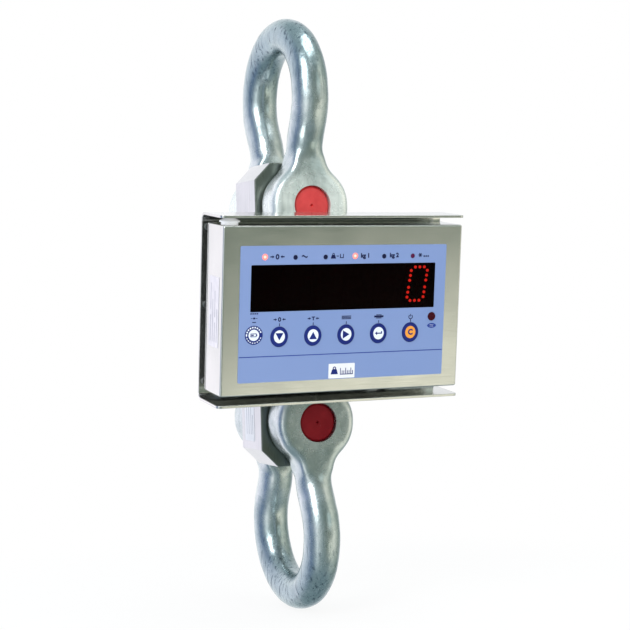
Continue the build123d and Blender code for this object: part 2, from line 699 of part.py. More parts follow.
with BuildPart() as charger_socket:
    with BuildSketch(socket_seat):
        Circle(SOCKET_R)
    extrude(amount=-12)
    with BuildSketch(socket_seat):
        RegularPolygon(radius=12, side_count=6)
    extrude(amount=3)
    with BuildSketch(socket_seat.offset(3)):
        Circle(SOCKET_R)
    extrude(amount=9)
    with BuildSketch(socket_seat.offset(12)):
        Circle(6)
    extrude(amount=-8, mode=Mode.SUBTRACT)
    with BuildSketch(socket_seat.offset(4)):
        with PolarLocations(3, 3):
            Circle(0.8)
    extrude(amount=6)
charger_socket.part.label = "charger_socket"
export_step(charger_socket.part, "parts/charger_socket.step")

with BuildPart() as socket_cap:
    with BuildSketch(socket_seat.offset(3.2)):
        Circle(10)
        Circle(SOCKET_R + 0.1, mode=Mode.SUBTRACT)
    extrude(amount=9)
    with BuildSketch(socket_seat.offset(12.2)):
        Circle(10)
    extrude(amount=2.5)
    fillet(socket_cap.edges().group_by(Axis(socket_seat.origin, socket_seat.z_dir))[-1], radius=1.5)
socket_cap.part.label = "socket_cap"
export_step(socket_cap.part, "parts/socket_cap.step")

# Domed plug on a short neck in the housing's top wall.
vent_axis = Plane(origin=TOP.offset(HOUSING_H / 2).from_local_coords((VENT_X, VENT_DEPTH, 0)),
                  x_dir=(1, 0, 0), z_dir=(0, DOWN, LEAN))

with BuildPart() as vent_cap:
    with BuildSketch(Plane(origin=vent_axis.origin, x_dir=(1, 0, 0), z_dir=(0, -DOWN, -LEAN))):
        with BuildLine():
            top = VENT_NECK_H + VENT_DOME_H
            rim = VENT_NECK_H + 1.2
            dome = ThreePointArc((0, top), (5.8, top - 0.9), (VENT_R - 0.2, rim))
            Polyline(dome @ 1, (VENT_R, VENT_NECK_H), (VENT_NECK_R, VENT_NECK_H), (VENT_NECK_R, 0),
                     (VENT_SHANK_R, 0), (VENT_SHANK_R, -VENT_SHANK_L), (0, -VENT_SHANK_L), (0, top))
        make_face()
    revolve(axis=Axis(vent_axis.origin, TOP.z_dir))
vent_cap.part.label = "vent_cap"
export_step(vent_cap.part, "parts/vent_cap.step")

with BuildPart() as rating_label:
    with BuildSketch(SIDE.offset(-HOUSING_W / 2)):
        with Locations(RATING_LABEL_PLACE):
            RectangleRounded(LABEL_W, LABEL_H, 1)
    extrude(amount=-LABEL_T)
rating_label.part.label = "rating_label"
export_step(rating_label.part, "parts/rating_label.step")


# ============================ front film, window and keys ============================

with BuildPart() as keypad_film:
    with BuildSketch(panel(-FILM_T)):
        with Locations((0, FILM_Z)):
            RectangleRounded(FILM_W, FILM_H, 1.5)
        with Locations((WINDOW_X, WINDOW_Z)):
            RectangleRounded(WINDOW_W + 0.2, WINDOW_H + 0.2, 1, mode=Mode.SUBTRACT)
        with Locations(*key_places()):
            Ellipse(KEY_RX + KEY_GAP, KEY_RZ + KEY_GAP, mode=Mode.SUBTRACT)
        with Locations(*lamp_places(range(LAMPS))):
            Circle(LAMP_R + 0.1, mode=Mode.SUBTRACT)
        with Locations(RECEIVER_PLACE):
            Circle(RECEIVER_R + 0.1, mode=Mode.SUBTRACT)
    extrude(amount=-FILM_T)
keypad_film.part.label = "keypad_film"
export_step(keypad_film.part, "parts/keypad_film.step")

with BuildPart() as display_window:
    with BuildSketch(panel(-FILM_T + 0.1)):
        with Locations((WINDOW_X, WINDOW_Z)):
            RectangleRounded(WINDOW_W, WINDOW_H, 0.9)
    extrude(amount=-2)
display_window.part.label = "display_window"
export_step(display_window.part, "parts/display_window.step")

with BuildPart() as name_plate:
    with BuildSketch(panel(-FILM_T - PLATE_T)):
        with Locations(PLATE_PLACE):
            RectangleRounded(PLATE_W, PLATE_H, 0.8)
    extrude(amount=-PLATE_T)
name_plate.part.label = "name_plate"
export_step(name_plate.part, "parts/name_plate.step")

KEY_BACK = SHEET + 0.1        # depth of the retaining flange's front face
KEY_FLANGE_T = 0.5
SWITCH_FRONT = KEY_BACK + KEY_FLANGE_T + KEY_TRAVEL + 0.1

for place, name in zip(key_places(), KEY_NAMES):
    with BuildPart() as key:
        with BuildSketch(panel(-FILM_T - KEY_PROUD)):
            with Locations(place):
                Ellipse(KEY_RX, KEY_RZ)
        extrude(amount=-(FILM_T + KEY_PROUD + KEY_BACK))
        fillet(key.edges().group_by(Axis(PANEL_ORIGIN, FRONT.z_dir))[-1], radius=0.5)
        with BuildSketch(panel(KEY_BACK)):
            with Locations(place):
                Ellipse(KEY_RX + KEY_FLANGE, KEY_RZ + KEY_FLANGE)
        extrude(amount=-KEY_FLANGE_T)
    key.part.label = f"key_{name}"
    export_step(key.part, f"parts/key_{name}.step")

KEYPAD_BOARD_DEPTH = 5.5

with BuildPart() as key_switches:
    with BuildSketch(panel(KEYPAD_BOARD_DEPTH)):
        with Locations(*key_places()):
            RectangleRounded(12, 12, 1)
    extrude(amount=KEYPAD_BOARD_DEPTH - SWITCH_FRONT - 0.6)
    with BuildSketch(panel(SWITCH_FRONT)):
        with Locations(*key_places()):
            Circle(3)
    extrude(amount=-0.6)
key_switches.part.label = "key_switches"
export_step(key_switches.part, "parts/key_switches.step")

with BuildPart() as keypad_board:
    with BuildSketch(panel(KEYPAD_BOARD_DEPTH)):
        with Locations((KEY_ROW_X, KEY_ROW_Z)):
            RectangleRounded(4 * KEY_PITCH + 34, 26, 2)
    extrude(amount=-BOARD_T)
keypad_board.part.label = "keypad_board"
export_step(keypad_board.part, "parts/keypad_board.step")

# Light pipes of the status lamps, from the film's face back to the display board.
LAMP_L = FILM_T + MODULE_FRONT + MODULE_T - 0.1


def make_lamps(indices):
    """Status lamps whose round noses are flush with the film."""
    with BuildPart() as lamps:
        with BuildSketch(panel(-FILM_T)):
            with Locations(*lamp_places(indices)):
                Circle(LAMP_R)
        extrude(amount=-LAMP_L)
        fillet(lamps.edges().group_by(Axis(PANEL_ORIGIN, FRONT.z_dir))[-1], radius=0.6)
    return lamps


lit_lamps = make_lamps(LIT_LAMPS)
lit_lamps.part.label = "status_lamps_lit"
export_step(lit_lamps.part, "parts/status_lamps_lit.step")

dark_lamps = make_lamps([i for i in range(LAMPS) if i not in LIT_LAMPS and i != FUNCTION_LAMP])
dark_lamps.part.label = "status_lamps_dark"
export_step(dark_lamps.part, "parts/status_lamps_dark.step")

function_lamp = make_lamps([FUNCTION_LAMP])
function_lamp.part.label = "function_lamp"
export_step(function_lamp.part, "parts/function_lamp.step")

# Domed receiver for the remote control.
with BuildPart() as infrared_receiver:
    with BuildSketch(panel(-FILM_T)):
        with Locations(RECEIVER_PLACE):
            Circle(RECEIVER_R)
    extrude(amount=-3)
    with BuildSketch(panel(-FILM_T)):
        with Locations(RECEIVER_PLACE):
            Circle(RECEIVER_R)
    extrude(amount=1)
    fillet(infrared_receiver.edges().group_by(Axis(PANEL_ORIGIN, FRONT.z_dir))[-1], radius=0.9)
infrared_receiver.part.label = "infrared_receiver"
export_step(infrared_receiver.part, "parts/infrared_receiver.step")


# ============================ display and electronics ============================

def slanted(x, z):
    """A place on a digit after its slant."""
    return (x + z * tan(radians(DIGIT_SLANT)), z)


def digit_dots():
    """Lamp places of one digit, as two lists: those lit by a nought, and the rest."""
    row = (-DOT_PITCH, 0, DOT_PITCH)
    ring = [slanted(x, z) for x in row for z in (SEGMENT_TOP, -SEGMENT_TOP)]
    ring += [slanted(x, side * z) for x in (-SEGMENT_X, SEGMENT_X)
             for z in UPRIGHT_DOTS for side in (1, -1)]
    rest = [slanted(x, 0) for x in row] + [slanted(POINT_X, -SEGMENT_TOP)]
    return ring, rest


DIGIT_CENTRES = [(LAST_DIGIT_X - DIGIT_PITCH * i, DIGIT_Z) for i in range(DIGITS)]
nought, other_dots = digit_dots()
lit_dots = [(DIGIT_CENTRES[0][0] + x, DIGIT_Z + z) for x, z in nought]
dark_dots = [(DIGIT_CENTRES[0][0] + x, DIGIT_Z + z) for x, z in other_dots]
dark_dots += [(cx + x, cz + z) for cx, cz in DIGIT_CENTRES[1:] for x, z in nought + other_dots]

with BuildPart() as digit_modules:
    with BuildSketch(panel(MODULE_FRONT)):
        with Locations(*DIGIT_CENTRES):
            Rectangle(DIGIT_PITCH - 0.3, 46)
    extrude(amount=-MODULE_T)
digit_modules.part.label = "digit_modules"
export_step(digit_modules.part, "parts/digit_modules.step")


def make_dots(places):
    """Small lens discs on the digits' front faces."""
    with BuildPart() as dots:
        with BuildSketch(panel(MODULE_FRONT)):
            with Locations(*places):
                Circle(DOT_R)
        extrude(amount=DOT_T)
    return dots


dots_lit = make_dots(lit_dots)
dots_lit.part.label = "digit_dots_lit"
export_step(dots_lit.part, "parts/digit_dots_lit.step")

dots_dark = make_dots(dark_dots)
dots_dark.part.label = "digit_dots_dark"
export_step(dots_dark.part, "parts/digit_dots_dark.step")

POSTS = [(x, z) for x in (-POST_X, POST_X) for z in POST_Z]
DISPLAY_BOARD_DEPTH = MODULE_FRONT + MODULE_T

with BuildPart() as display_board:
    with BuildSketch(panel(DISPLAY_BOARD_DEPTH)):
        with Locations((0, 27.75)):
            RectangleRounded(220, 71.5, 2)
        with Locations(*POSTS):
            Circle(M3_TAPPED_R, mode=Mode.SUBTRACT)
    extrude(amount=-BOARD_T)
display_board.part.label = "display_board"
export_step(display_board.part, "parts/display_board.step")

with BuildPart() as main_board:
    with BuildSketch(panel(MAIN_BOARD_DEPTH)):
        with Locations((0, 25)):
            RectangleRounded(220, 95, 2)
        with Locations(*POSTS):
            Circle(M3_TAPPED_R, mode=Mode.SUBTRACT)
    extrude(amount=-BOARD_T)
main_board.part.label = "main_board"
export_step(main_board.part, "parts/main_board.step")

# Screened converter, processor, memory, terminal block, radio can and regulator.
with BuildPart() as board_components:
    with BuildSketch(panel(MAIN_BOARD_DEPTH + BOARD_T)):
        with Locations((70, 5)):
            Rectangle(34, 24)
        with Locations((-5, 40)):
            Rectangle(14, 14)
        with Locations((-30, 42)):
            Rectangle(9, 6)
        with Locations((-80, 50)):
            Rectangle(26, 18)
        with Locations((-70, 8)):
            Rectangle(16, 12)
    extrude(amount=-3.2)
    with BuildSketch(panel(MAIN_BOARD_DEPTH + BOARD_T)):
        with Locations((30, -14)):
            Rectangle(38, 9)
    extrude(amount=-9)
board_components.part.label = "board_components"
export_step(board_components.part, "parts/board_components.step")

# Threaded columns: pan to display board, and display board to main board.
with BuildPart() as board_posts:
    with BuildSketch(panel(SHEET)):
        with Locations(*POSTS):
            RegularPolygon(radius=3, side_count=6)
            Circle(POST_BORE_R, mode=Mode.SUBTRACT)
    extrude(amount=-(DISPLAY_BOARD_DEPTH - SHEET))
    with BuildSketch(panel(DISPLAY_BOARD_DEPTH + BOARD_T)):
        with Locations(*POSTS):
            RegularPolygon(radius=3, side_count=6)
            Circle(POST_BORE_R, mode=Mode.SUBTRACT)
    extrude(amount=-(MAIN_BOARD_DEPTH - DISPLAY_BOARD_DEPTH - BOARD_T))
board_posts.part.label = "board_posts"
export_step(board_posts.part, "parts/board_posts.step")

BATTERY_DEPTH = 10.0
BATTERY_T = 22.0
BATTERY_W = 150.0
BATTERY_H = 30.0
BATTERY_Z = -58.0
STRAP_T = 1.2

with BuildPart() as battery_pack:
    with BuildSketch(panel(BATTERY_DEPTH)):
        with Locations((0, BATTERY_Z)):
            RectangleRounded(BATTERY_W, BATTERY_H, 3)
    extrude(amount=-BATTERY_T)
    fillet(battery_pack.faces().filter_by(FRONT).edges(), radius=2)
battery_pack.part.label = "battery_pack"
export_step(battery_pack.part, "parts/battery_pack.step")

# Channel strap that holds the battery against the front pan.
with BuildPart() as battery_strap:
    strap_back = BATTERY_DEPTH + BATTERY_T + 0.2
    strap_half = BATTERY_H / 2 + 0.3
    with BuildSketch(SIDE):
        with Locations(((SHEET + strap_back + STRAP_T) / 2, BATTERY_Z)):
            Rectangle(strap_back + STRAP_T - SHEET, 2 * (strap_half + STRAP_T))
        with Locations(((SHEET + strap_back) / 2, BATTERY_Z)):
            Rectangle(strap_back - SHEET, 2 * strap_half, mode=Mode.SUBTRACT)
    extrude(amount=10, both=True)
battery_strap.part.label = "battery_strap"
export_step(battery_strap.part, "parts/battery_strap.step")
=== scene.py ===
"""Crane scale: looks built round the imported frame. Metres, +Z up, the display faces -Y."""
import json
import math
import bmesh
import bpy
from mathutils import Matrix, Vector, noise


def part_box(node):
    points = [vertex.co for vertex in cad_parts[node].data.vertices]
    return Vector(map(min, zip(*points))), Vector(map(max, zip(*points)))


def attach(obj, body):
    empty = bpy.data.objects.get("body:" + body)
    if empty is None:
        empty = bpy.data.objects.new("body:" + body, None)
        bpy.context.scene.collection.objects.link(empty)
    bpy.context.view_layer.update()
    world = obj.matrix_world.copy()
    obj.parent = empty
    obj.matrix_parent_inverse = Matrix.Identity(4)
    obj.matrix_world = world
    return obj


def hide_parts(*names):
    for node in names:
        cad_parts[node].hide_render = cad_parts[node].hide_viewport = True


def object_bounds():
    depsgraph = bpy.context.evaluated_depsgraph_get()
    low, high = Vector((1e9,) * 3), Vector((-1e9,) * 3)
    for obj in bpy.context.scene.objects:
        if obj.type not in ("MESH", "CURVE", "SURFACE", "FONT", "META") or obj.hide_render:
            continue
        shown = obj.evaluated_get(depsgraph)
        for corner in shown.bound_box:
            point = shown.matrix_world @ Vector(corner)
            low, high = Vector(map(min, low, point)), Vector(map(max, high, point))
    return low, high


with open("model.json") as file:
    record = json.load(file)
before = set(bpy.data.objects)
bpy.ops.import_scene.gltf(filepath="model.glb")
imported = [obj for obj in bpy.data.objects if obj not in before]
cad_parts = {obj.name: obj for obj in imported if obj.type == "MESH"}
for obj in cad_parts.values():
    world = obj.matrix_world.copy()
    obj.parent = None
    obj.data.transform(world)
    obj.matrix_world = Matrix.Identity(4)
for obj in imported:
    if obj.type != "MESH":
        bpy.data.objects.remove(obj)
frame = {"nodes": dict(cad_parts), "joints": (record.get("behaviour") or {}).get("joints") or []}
cad_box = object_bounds()
nodes = frame["nodes"]
joints = {joint["name"]: joint for joint in frame["joints"]}

MM = 0.001
FILM_OUT = 0.6                # film's face in front of the housing's face, mm
PRINT_T = 0.06                # printed ink, mm
SCALE_BODY = "scale_body"
KEY_NAMES = ("zero", "tare", "mode", "print", "power")


# ============================ places taken from the frame ============================

def centre(node):
    """Middle of a CAD node's box."""
    low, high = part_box(node)
    return (low + high) / 2


INWARD = Vector(joints["key_zero_press"]["axis"]).normalized()
OUTWARD = -INWARD
ACROSS = Vector((1, 0, 0))
UPWARD = OUTWARD.cross(ACROSS)


def reach(node):
    """How far a CAD node's outermost vertex lies along OUTWARD, in mm."""
    part = nodes[node]
    return max((part.matrix_world @ vertex.co).dot(OUTWARD) for vertex in part.data.vertices) / MM


housing_centre = centre("housing_front")
film_reach = reach("keypad_film")
PANEL_ORIGIN = housing_centre + OUTWARD * ((film_reach - FILM_OUT) * MM - housing_centre.dot(OUTWARD))
PANEL = Matrix((
    (ACROSS.x, UPWARD.x, OUTWARD.x, PANEL_ORIGIN.x),
    (ACROSS.y, UPWARD.y, OUTWARD.y, PANEL_ORIGIN.y),
    (ACROSS.z, UPWARD.z, OUTWARD.z, PANEL_ORIGIN.z),
    (0, 0, 0, 1)))
CELL = centre("load_cell")
KEY_OUT = FILM_OUT + reach("key_tare") - film_reach
PLATE_OUT = FILM_OUT + reach("name_plate") - film_reach


LAMP_R = 2.4
LAMP_COUNT = 6
LIT = (0, 3)
lamp_low, lamp_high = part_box("status_lamps_lit")


def panel_point(across, up, out=0.0):
    """Point of the row frame at a place on the display face, from mm."""
    return PANEL @ (Vector((across, up, out)) * MM)


def on_panel(point):
    """(across, up) in mm of a point in the row frame, on the display face."""
    local = PANEL.inverted() @ point
    return local.x / MM, local.y / MM


first_lamp = lamp_low.x / MM + LAMP_R
lamp_pitch = (lamp_high.x / MM - LAMP_R - first_lamp) / 3
lamp_row = on_panel((lamp_low + lamp_high) / 2)[1] + 0.8
LIT_LAMPS = [panel_point(first_lamp + lamp_pitch * i, lamp_row, FILM_OUT) for i in LIT]


# ============================ material building ============================

class Shader:
    """One material's node tree, with short calls for the nodes that the materials share."""

    def __init__(self, name):
        self.material = bpy.data.materials.new(name)
        self.material.use_nodes = True
        self.tree = self.material.node_tree
        self.tree.nodes.clear()
        self.output = self.tree.nodes.new("ShaderNodeOutputMaterial")
        self.coords = self.tree.nodes.new("ShaderNodeTexCoord").outputs["Object"]

    def put(self, socket, value):
        """Links a socket or sets a value."""
        if isinstance(value, bpy.types.NodeSocket):
            self.tree.links.new(value, socket)
        elif socket.type == "RGBA" and len(value) == 3:
            socket.default_value = (*value, 1)
        else:
            socket.default_value = value

    def stretched(self, scale):
        """Object coordinates scaled per axis."""
        node = self.tree.nodes.new("ShaderNodeMapping")
        self.put(node.inputs["Vector"], self.coords)
        node.inputs["Scale"].default_value = scale
        return node.outputs["Vector"]

    def noise(self, scale, detail=3.0, rough=0.5, vector=None):
        node = self.tree.nodes.new("ShaderNodeTexNoise")
        self.put(node.inputs["Vector"], vector or self.coords)
        node.inputs["Scale"].default_value = scale
        node.inputs["Detail"].default_value = detail
        node.inputs["Roughness"].default_value = rough
        return node.outputs["Fac"]

    def ramp(self, factor, *stops):
        """Colour ramp through (position, colour) stops."""
        node = self.tree.nodes.new("ShaderNodeValToRGB")
        self.put(node.inputs["Fac"], factor)
        elements = node.color_ramp.elements
        while len(elements) < len(stops):
            elements.new(0.5)
        for element, (position, colour) in zip(elements, stops):
            element.position = position
            element.color = (*colour, 1)
        return node.outputs["Color"]

    def remap(self, factor, low, high, to_low, to_high, smooth=False):
        node = self.tree.nodes.new("ShaderNodeMapRange")
        node.interpolation_type = "SMOOTHSTEP" if smooth else "LINEAR"
        self.put(node.inputs["Value"], factor)
        for name, value in (("From Min", low), ("From Max", high), ("To Min", to_low), ("To Max", to_high)):
            node.inputs[name].default_value = value
        return node.outputs["Result"]

    def mix(self, factor, one, two, kind="MIX"):
        node = self.tree.nodes.new("ShaderNodeMix")
        node.data_type = "RGBA"
        node.blend_type = kind
        self.put(node.inputs["Factor"], factor)
        self.put(node.inputs["A"] if node.inputs["A"].enabled else node.inputs[6], one)
        self.put(node.inputs["B"] if node.inputs["B"].enabled else node.inputs[7], two)
        return [socket for socket in node.outputs if socket.enabled][0]

    def sums(self, kind, one, two=0.0):
        node = self.tree.nodes.new("ShaderNodeMath")
        node.operation = kind
        self.put(node.inputs[0], one)
        self.put(node.inputs[1], two)
        return node.outputs["Value"]

    def bump(self, height, distance, strength=1.0, normal=None):
        node = self.tree.nodes.new("ShaderNodeBump")
        node.inputs["Distance"].default_value = distance
        node.inputs["Strength"].default_value = strength
        self.put(node.inputs["Height"], height)
        if normal is not None:
            self.put(node.inputs["Normal"], normal)
        return node.outputs["Normal"]

    def soft_edges(self, radius):
        """Normal that rounds the shading of sharp edges by a small radius."""
        node = self.tree.nodes.new("ShaderNodeBevel")
        node.samples = 4
        node.inputs["Radius"].default_value = radius
        return node.outputs["Normal"]

    def facing(self, axis):
        """1 on faces that look along an axis, either way."""
        parts = self.tree.nodes.new("ShaderNodeSeparateXYZ")
        self.put(parts.inputs[0], self.tree.nodes.new("ShaderNodeTexCoord").outputs["Normal"])
        return self.sums("GREATER_THAN", self.sums("ABSOLUTE", parts.outputs[axis]), 0.7)

    def height(self):
        """Z in the row frame, in metres."""
        parts = self.tree.nodes.new("ShaderNodeSeparateXYZ")
        self.put(parts.inputs[0], self.coords)
        return parts.outputs["Z"]

    def lamp_glow(self, inner, outer):
        """1 within inner mm of a lit lamp's axis, falling to 0 at outer mm."""
        total = 0.0
        for place in LIT_LAMPS:
            distance = self.tree.nodes.new("ShaderNodeVectorMath")
            distance.operation = "DISTANCE"
            self.put(distance.inputs[0], self.coords)
            distance.inputs[1].default_value = place
            near = self.remap(distance.outputs["Value"], inner * MM, outer * MM, 1.0, 0.0, smooth=True)
            total = self.sums("MAXIMUM", near, total)
        return total

    def surface(self, **inputs):
        """Principled surface; input names are written with underscores."""
        node = self.tree.nodes.new("ShaderNodeBsdfPrincipled")
        for name, value in inputs.items():
            self.put(node.inputs[name.replace("_", " ")], value)
        self.tree.links.new(node.outputs["BSDF"], self.output.inputs["Surface"])
        return self.material


# ============================ materials ============================

def galvanised_zinc():
    """Hot-dip zinc: cloudy grey-blue, darker towards the crowns, with runs and small dark marks."""
    s = Shader("galvanised_zinc")
    clouds = s.noise(22, 4, 0.6)
    patches = s.noise(70, 5, 0.65)
    specks = s.noise(420, 2, 0.5)
    runs = s.noise(60, 3, 0.6, s.stretched((1.6, 1.6, 0.25)))
    streaks = s.noise(150, 4, 0.65, s.stretched((2.2, 2.2, 0.18)))
    height = s.height()
    crown = s.remap(s.sums("ABSOLUTE", s.sums("SUBTRACT", height, CELL.z)), 0.19, 0.32, 0.0, 1.0, smooth=True)
    tone = s.ramp(clouds, (0.30, (0.37, 0.45, 0.46)), (0.55, (0.56, 0.62, 0.62)), (0.75, (0.73, 0.76, 0.77)))
    tone = s.mix(s.sums("MULTIPLY", crown, 0.62), tone, (0.23, 0.34, 0.37))
    tone = s.mix(s.remap(patches, 0.45, 0.75, 0.0, 0.55), tone, (0.27, 0.35, 0.36))
    tone = s.mix(s.remap(runs, 0.58, 0.80, 0.0, 0.40), tone, (0.82, 0.84, 0.85))
    marks = s.sums("MULTIPLY", s.remap(streaks, 0.55, 0.64, 0.0, 1.0), crown)
    tone = s.mix(marks, tone, (0.06, 0.10, 0.13))
    tone = s.mix(s.remap(specks, 0.68, 0.76, 0.0, 0.6), tone, (0.14, 0.18, 0.19))
    # Painted light: the upper ears and the bar below them are drawn paler and less metallic, standing in for
    # the light that falls on them.
    upper_painted_light = s.remap(height, CELL.z + 0.175, CELL.z + 0.105, 0.0, 1.0, smooth=True)
    upper = s.sums("GREATER_THAN", height, CELL.z)
    upper_painted_light = s.sums("MULTIPLY", s.sums("MULTIPLY", upper_painted_light, upper), s.remap(runs, 0.35, 0.60, 0.55, 1.0))
    tone = s.mix(s.sums("MULTIPLY", upper_painted_light, 0.80), tone, (0.92, 0.96, 0.91))
    rough = s.sums("ADD", s.remap(patches, 0.3, 0.7, 0.15, 0.28), s.remap(clouds, 0.3, 0.7, 0.0, 0.08))
    skin = s.sums("ADD", s.sums("MULTIPLY", patches, 0.6), s.sums("MULTIPLY", clouds, 1.6))
    normal = s.bump(skin, 0.0009, 0.38)
    normal = s.bump(specks, 0.0002, 0.25, normal)
    metal = s.sums("SUBTRACT", 0.90, s.sums("MULTIPLY", upper_painted_light, 0.50))
    return s.surface(Base_Color=tone, Metallic=metal, Roughness=rough, Normal=normal)


def red_paint(name, deep, light, shine):
    """Glossy red paint on a pin, with small scuffs down to the metal."""
    s = Shader(name)
    drift = s.noise(60, 3, 0.6)
    scuffs = s.noise(190, 4, 0.7)
    tone = s.ramp(drift, (0.3, deep), (0.7, light))
    worn = s.remap(scuffs, 0.70, 0.76, 0.0, 0.6)
    tone = s.mix(worn, tone, (0.35, 0.30, 0.30))
    normal = s.bump(drift, 0.0003, 0.4, s.soft_edges(0.0006))
    return s.surface(Base_Color=tone, Roughness=s.remap(drift, 0.3, 0.7, 0.30, 0.42), Metallic=0.0,
                     Coat_Weight=0.5 * shine, Coat_Roughness=0.2, Specular_IOR_Level=shine, Normal=normal)


def milled_steel():
    """Load-cell bar: ground faces with fine lines along its length, and painted shade that darkens the faces
    looking along Y.
    """
    s = Shader("milled_steel")
    lines = s.noise(30, 4, 0.6, s.stretched((30, 30, 0.6)))
    clouds = s.noise(18, 3, 0.5)
    tone = s.ramp(clouds, (0.3, (0.58, 0.59, 0.60)), (0.7, (0.70, 0.70, 0.71)))
    tone = s.mix(s.remap(lines, 0.35, 0.75, 0.0, 0.25), tone, (0.46, 0.47, 0.48))
    # Painted shade: faces that look along Y are darkened to olive, standing in for the dark reflection on the
    # front face.
    tone = s.mix(s.sums("MULTIPLY", s.facing("Y"), 0.92), tone, (0.15, 0.17, 0.14))
    rough = s.remap(lines, 0.3, 0.7, 0.26, 0.38)
    normal = s.bump(lines, 0.00006, 0.5, s.soft_edges(0.0008))
    return s.surface(Base_Color=tone, Metallic=0.95, Roughness=rough, Normal=normal)


def brushed_stainless():
    """Stainless sheet brushed along its length, and up and down on the side walls."""
    s = Shader("brushed_stainless")
    along_x = s.noise(40, 3, 0.6, s.stretched((0.8, 40, 40)))
    along_z = s.noise(40, 3, 0.6, s.stretched((40, 40, 0.8)))
    side_wall = s.facing("X")
    grain = s.sums("ADD", s.sums("MULTIPLY", along_z, side_wall),
                   s.sums("MULTIPLY", along_x, s.sums("SUBTRACT", 1.0, side_wall)))
    haze = s.noise(9, 3, 0.55)
    smears = s.noise(35, 4, 0.6, s.stretched((0.5, 1, 1)))
    tone = s.ramp(haze, (0.3, (0.63, 0.64, 0.61)), (0.7, (0.72, 0.72, 0.69)))
    tone = s.mix(s.remap(grain, 0.3, 0.7, 0.0, 0.16), tone, (0.50, 0.51, 0.49))
    rough = s.sums("ADD", s.remap(grain, 0.3, 0.7, 0.10, 0.17), s.remap(smears, 0.35, 0.7, 0.0, 0.06))
    normal = s.bump(grain, 0.00003, 0.24, s.soft_edges(0.0009))
    return s.surface(Base_Color=tone, Metallic=0.97, Roughness=rough, Normal=normal)


def plain_metal(name, tone, darker, rough, metallic=1.0):
    """Small machined parts: screws, nuts, glands."""
    s = Shader(name)
    drift = s.noise(120, 3, 0.6)
    colour = s.mix(s.remap(drift, 0.3, 0.7, 0.0, 1.0), tone, darker)
    normal = s.bump(drift, 0.0001, 0.3, s.soft_edges(0.0004))
    return s.surface(Base_Color=colour, Metallic=metallic, Normal=normal,
                     Roughness=s.remap(drift, 0.3, 0.7, rough, rough + 0.12))


def plain_plastic(name, tone, darker, rough, grain=700, relief=0.0001, coat=0.0, shine=0.5,
                  glow=0.0):
    """Moulded or printed plastic with a fine grain."""
    s = Shader(name)
    drift = s.noise(25, 3, 0.5)
    fine = s.noise(grain, 2, 0.5)
    colour = s.mix(s.remap(drift, 0.3, 0.7, 0.0, 1.0), tone, darker)
    normal = s.bump(fine, relief, 0.25, s.soft_edges(0.0003))
    return s.surface(Base_Color=colour, Roughness=s.remap(fine, 0.3, 0.7, rough, rough + 0.10), Normal=normal,
                     Coat_Weight=coat, Coat_Roughness=0.1, Specular_IOR_Level=shine, Emission_Color=tone,
                     Emission_Strength=glow)


def film_blue():
    """Printed polyester film: periwinkle ink under a lightly textured face."""
    s = Shader("film_blue")
    drift = s.noise(7, 2, 0.5)
    fine = s.noise(900, 2, 0.5)
    tone = s.ramp(drift, (0.3, (0.178, 0.262, 0.500)), (0.7, (0.208, 0.280, 0.510)))
    normal = s.bump(fine, 0.00005, 0.3)
    glow = s.lamp_glow(LAMP_R * 0.9, LAMP_R + 1.3)
    return s.surface(Base_Color=s.mix(glow, tone, (0.90, 0.25, 0.20)), Normal=normal, Specular_IOR_Level=0.2,
                     Roughness=s.remap(fine, 0.3, 0.7, 0.36, 0.48), Emission_Color=(1.0, 0.20, 0.15),
                     Emission_Strength=s.sums("MULTIPLY", glow, 0.55))


def smoked_window():
    """Dark red window: what is behind it shows through the tint, under a weak gloss."""
    s = Shader("smoked_window")
    see_through = s.tree.nodes.new("ShaderNodeBsdfTransparent")
    smears = s.noise(30, 4, 0.6)
    s.put(see_through.inputs["Color"], s.mix(s.remap(smears, 0.3, 0.7, 0.0, 1.0), (0.42, 0.115, 0.095),
                                             (0.38, 0.095, 0.080)))
    gloss = s.tree.nodes.new("ShaderNodeBsdfGlossy")
    s.put(gloss.inputs["Color"], (0.5, 0.45, 0.45))
    s.put(gloss.inputs["Roughness"], s.remap(smears, 0.3, 0.7, 0.08, 0.16))
    fresnel = s.tree.nodes.new("ShaderNodeFresnel")
    fresnel.inputs["IOR"].default_value = 1.30
    blend = s.tree.nodes.new("ShaderNodeMixShader")
    s.put(blend.inputs["Fac"], s.sums("MULTIPLY", fresnel.outputs["Fac"], 0.35))
    s.tree.links.new(see_through.outputs["BSDF"], blend.inputs[1])
    s.tree.links.new(gloss.outputs["BSDF"], blend.inputs[2])
    s.tree.links.new(blend.outputs["Shader"], s.output.inputs["Surface"])
    return s.material


def glowing(name, core, rim, strength):
    """Lit digit dots: the core colour where they face the viewer, the rim colour towards their edges."""
    s = Shader(name)
    facing = s.tree.nodes.new("ShaderNodeLayerWeight")
    facing.inputs["Blend"].default_value = 0.35
    ripple = s.noise(900, 1, 0.5)
    edge = s.sums("ADD", facing.outputs["Facing"], s.remap(ripple, 0.3, 0.7, -0.08, 0.08))
    colour = s.mix(edge, core, rim)
    return s.surface(Base_Color=rim, Emission_Color=colour, Emission_Strength=strength, Roughness=0.3)


def lit_lamp():
    """Lit status lamp: pale hot middle, coral rim."""
    s = Shader("lamp_lit")
    ripple = s.noise(900, 1, 0.5)
    hot = s.sums("MULTIPLY", s.lamp_glow(0.5, LAMP_R * 0.95), s.remap(ripple, 0.3, 0.7, 0.85, 1.0))
    colour = s.mix(hot, (1.0, 0.155, 0.11), (1.0, 0.80, 0.74))
    return s.surface(Base_Color=(0.8, 0.2, 0.15), Roughness=0.3, Emission_Color=colour,
                     Emission_Strength=0.95)


def circuit_board():
    """Green solder mask with paler tracks."""
    s = Shader("circuit_board")
    tracks = s.noise(160, 1, 0.4, s.stretched((3, 1, 0.6)))
    tone = s.mix(s.remap(tracks, 0.52, 0.56, 0.0, 1.0), (0.010, 0.090, 0.035), (0.030, 0.170, 0.070))
    return s.surface(Base_Color=tone, Roughness=0.35, Coat_Weight=0.3)


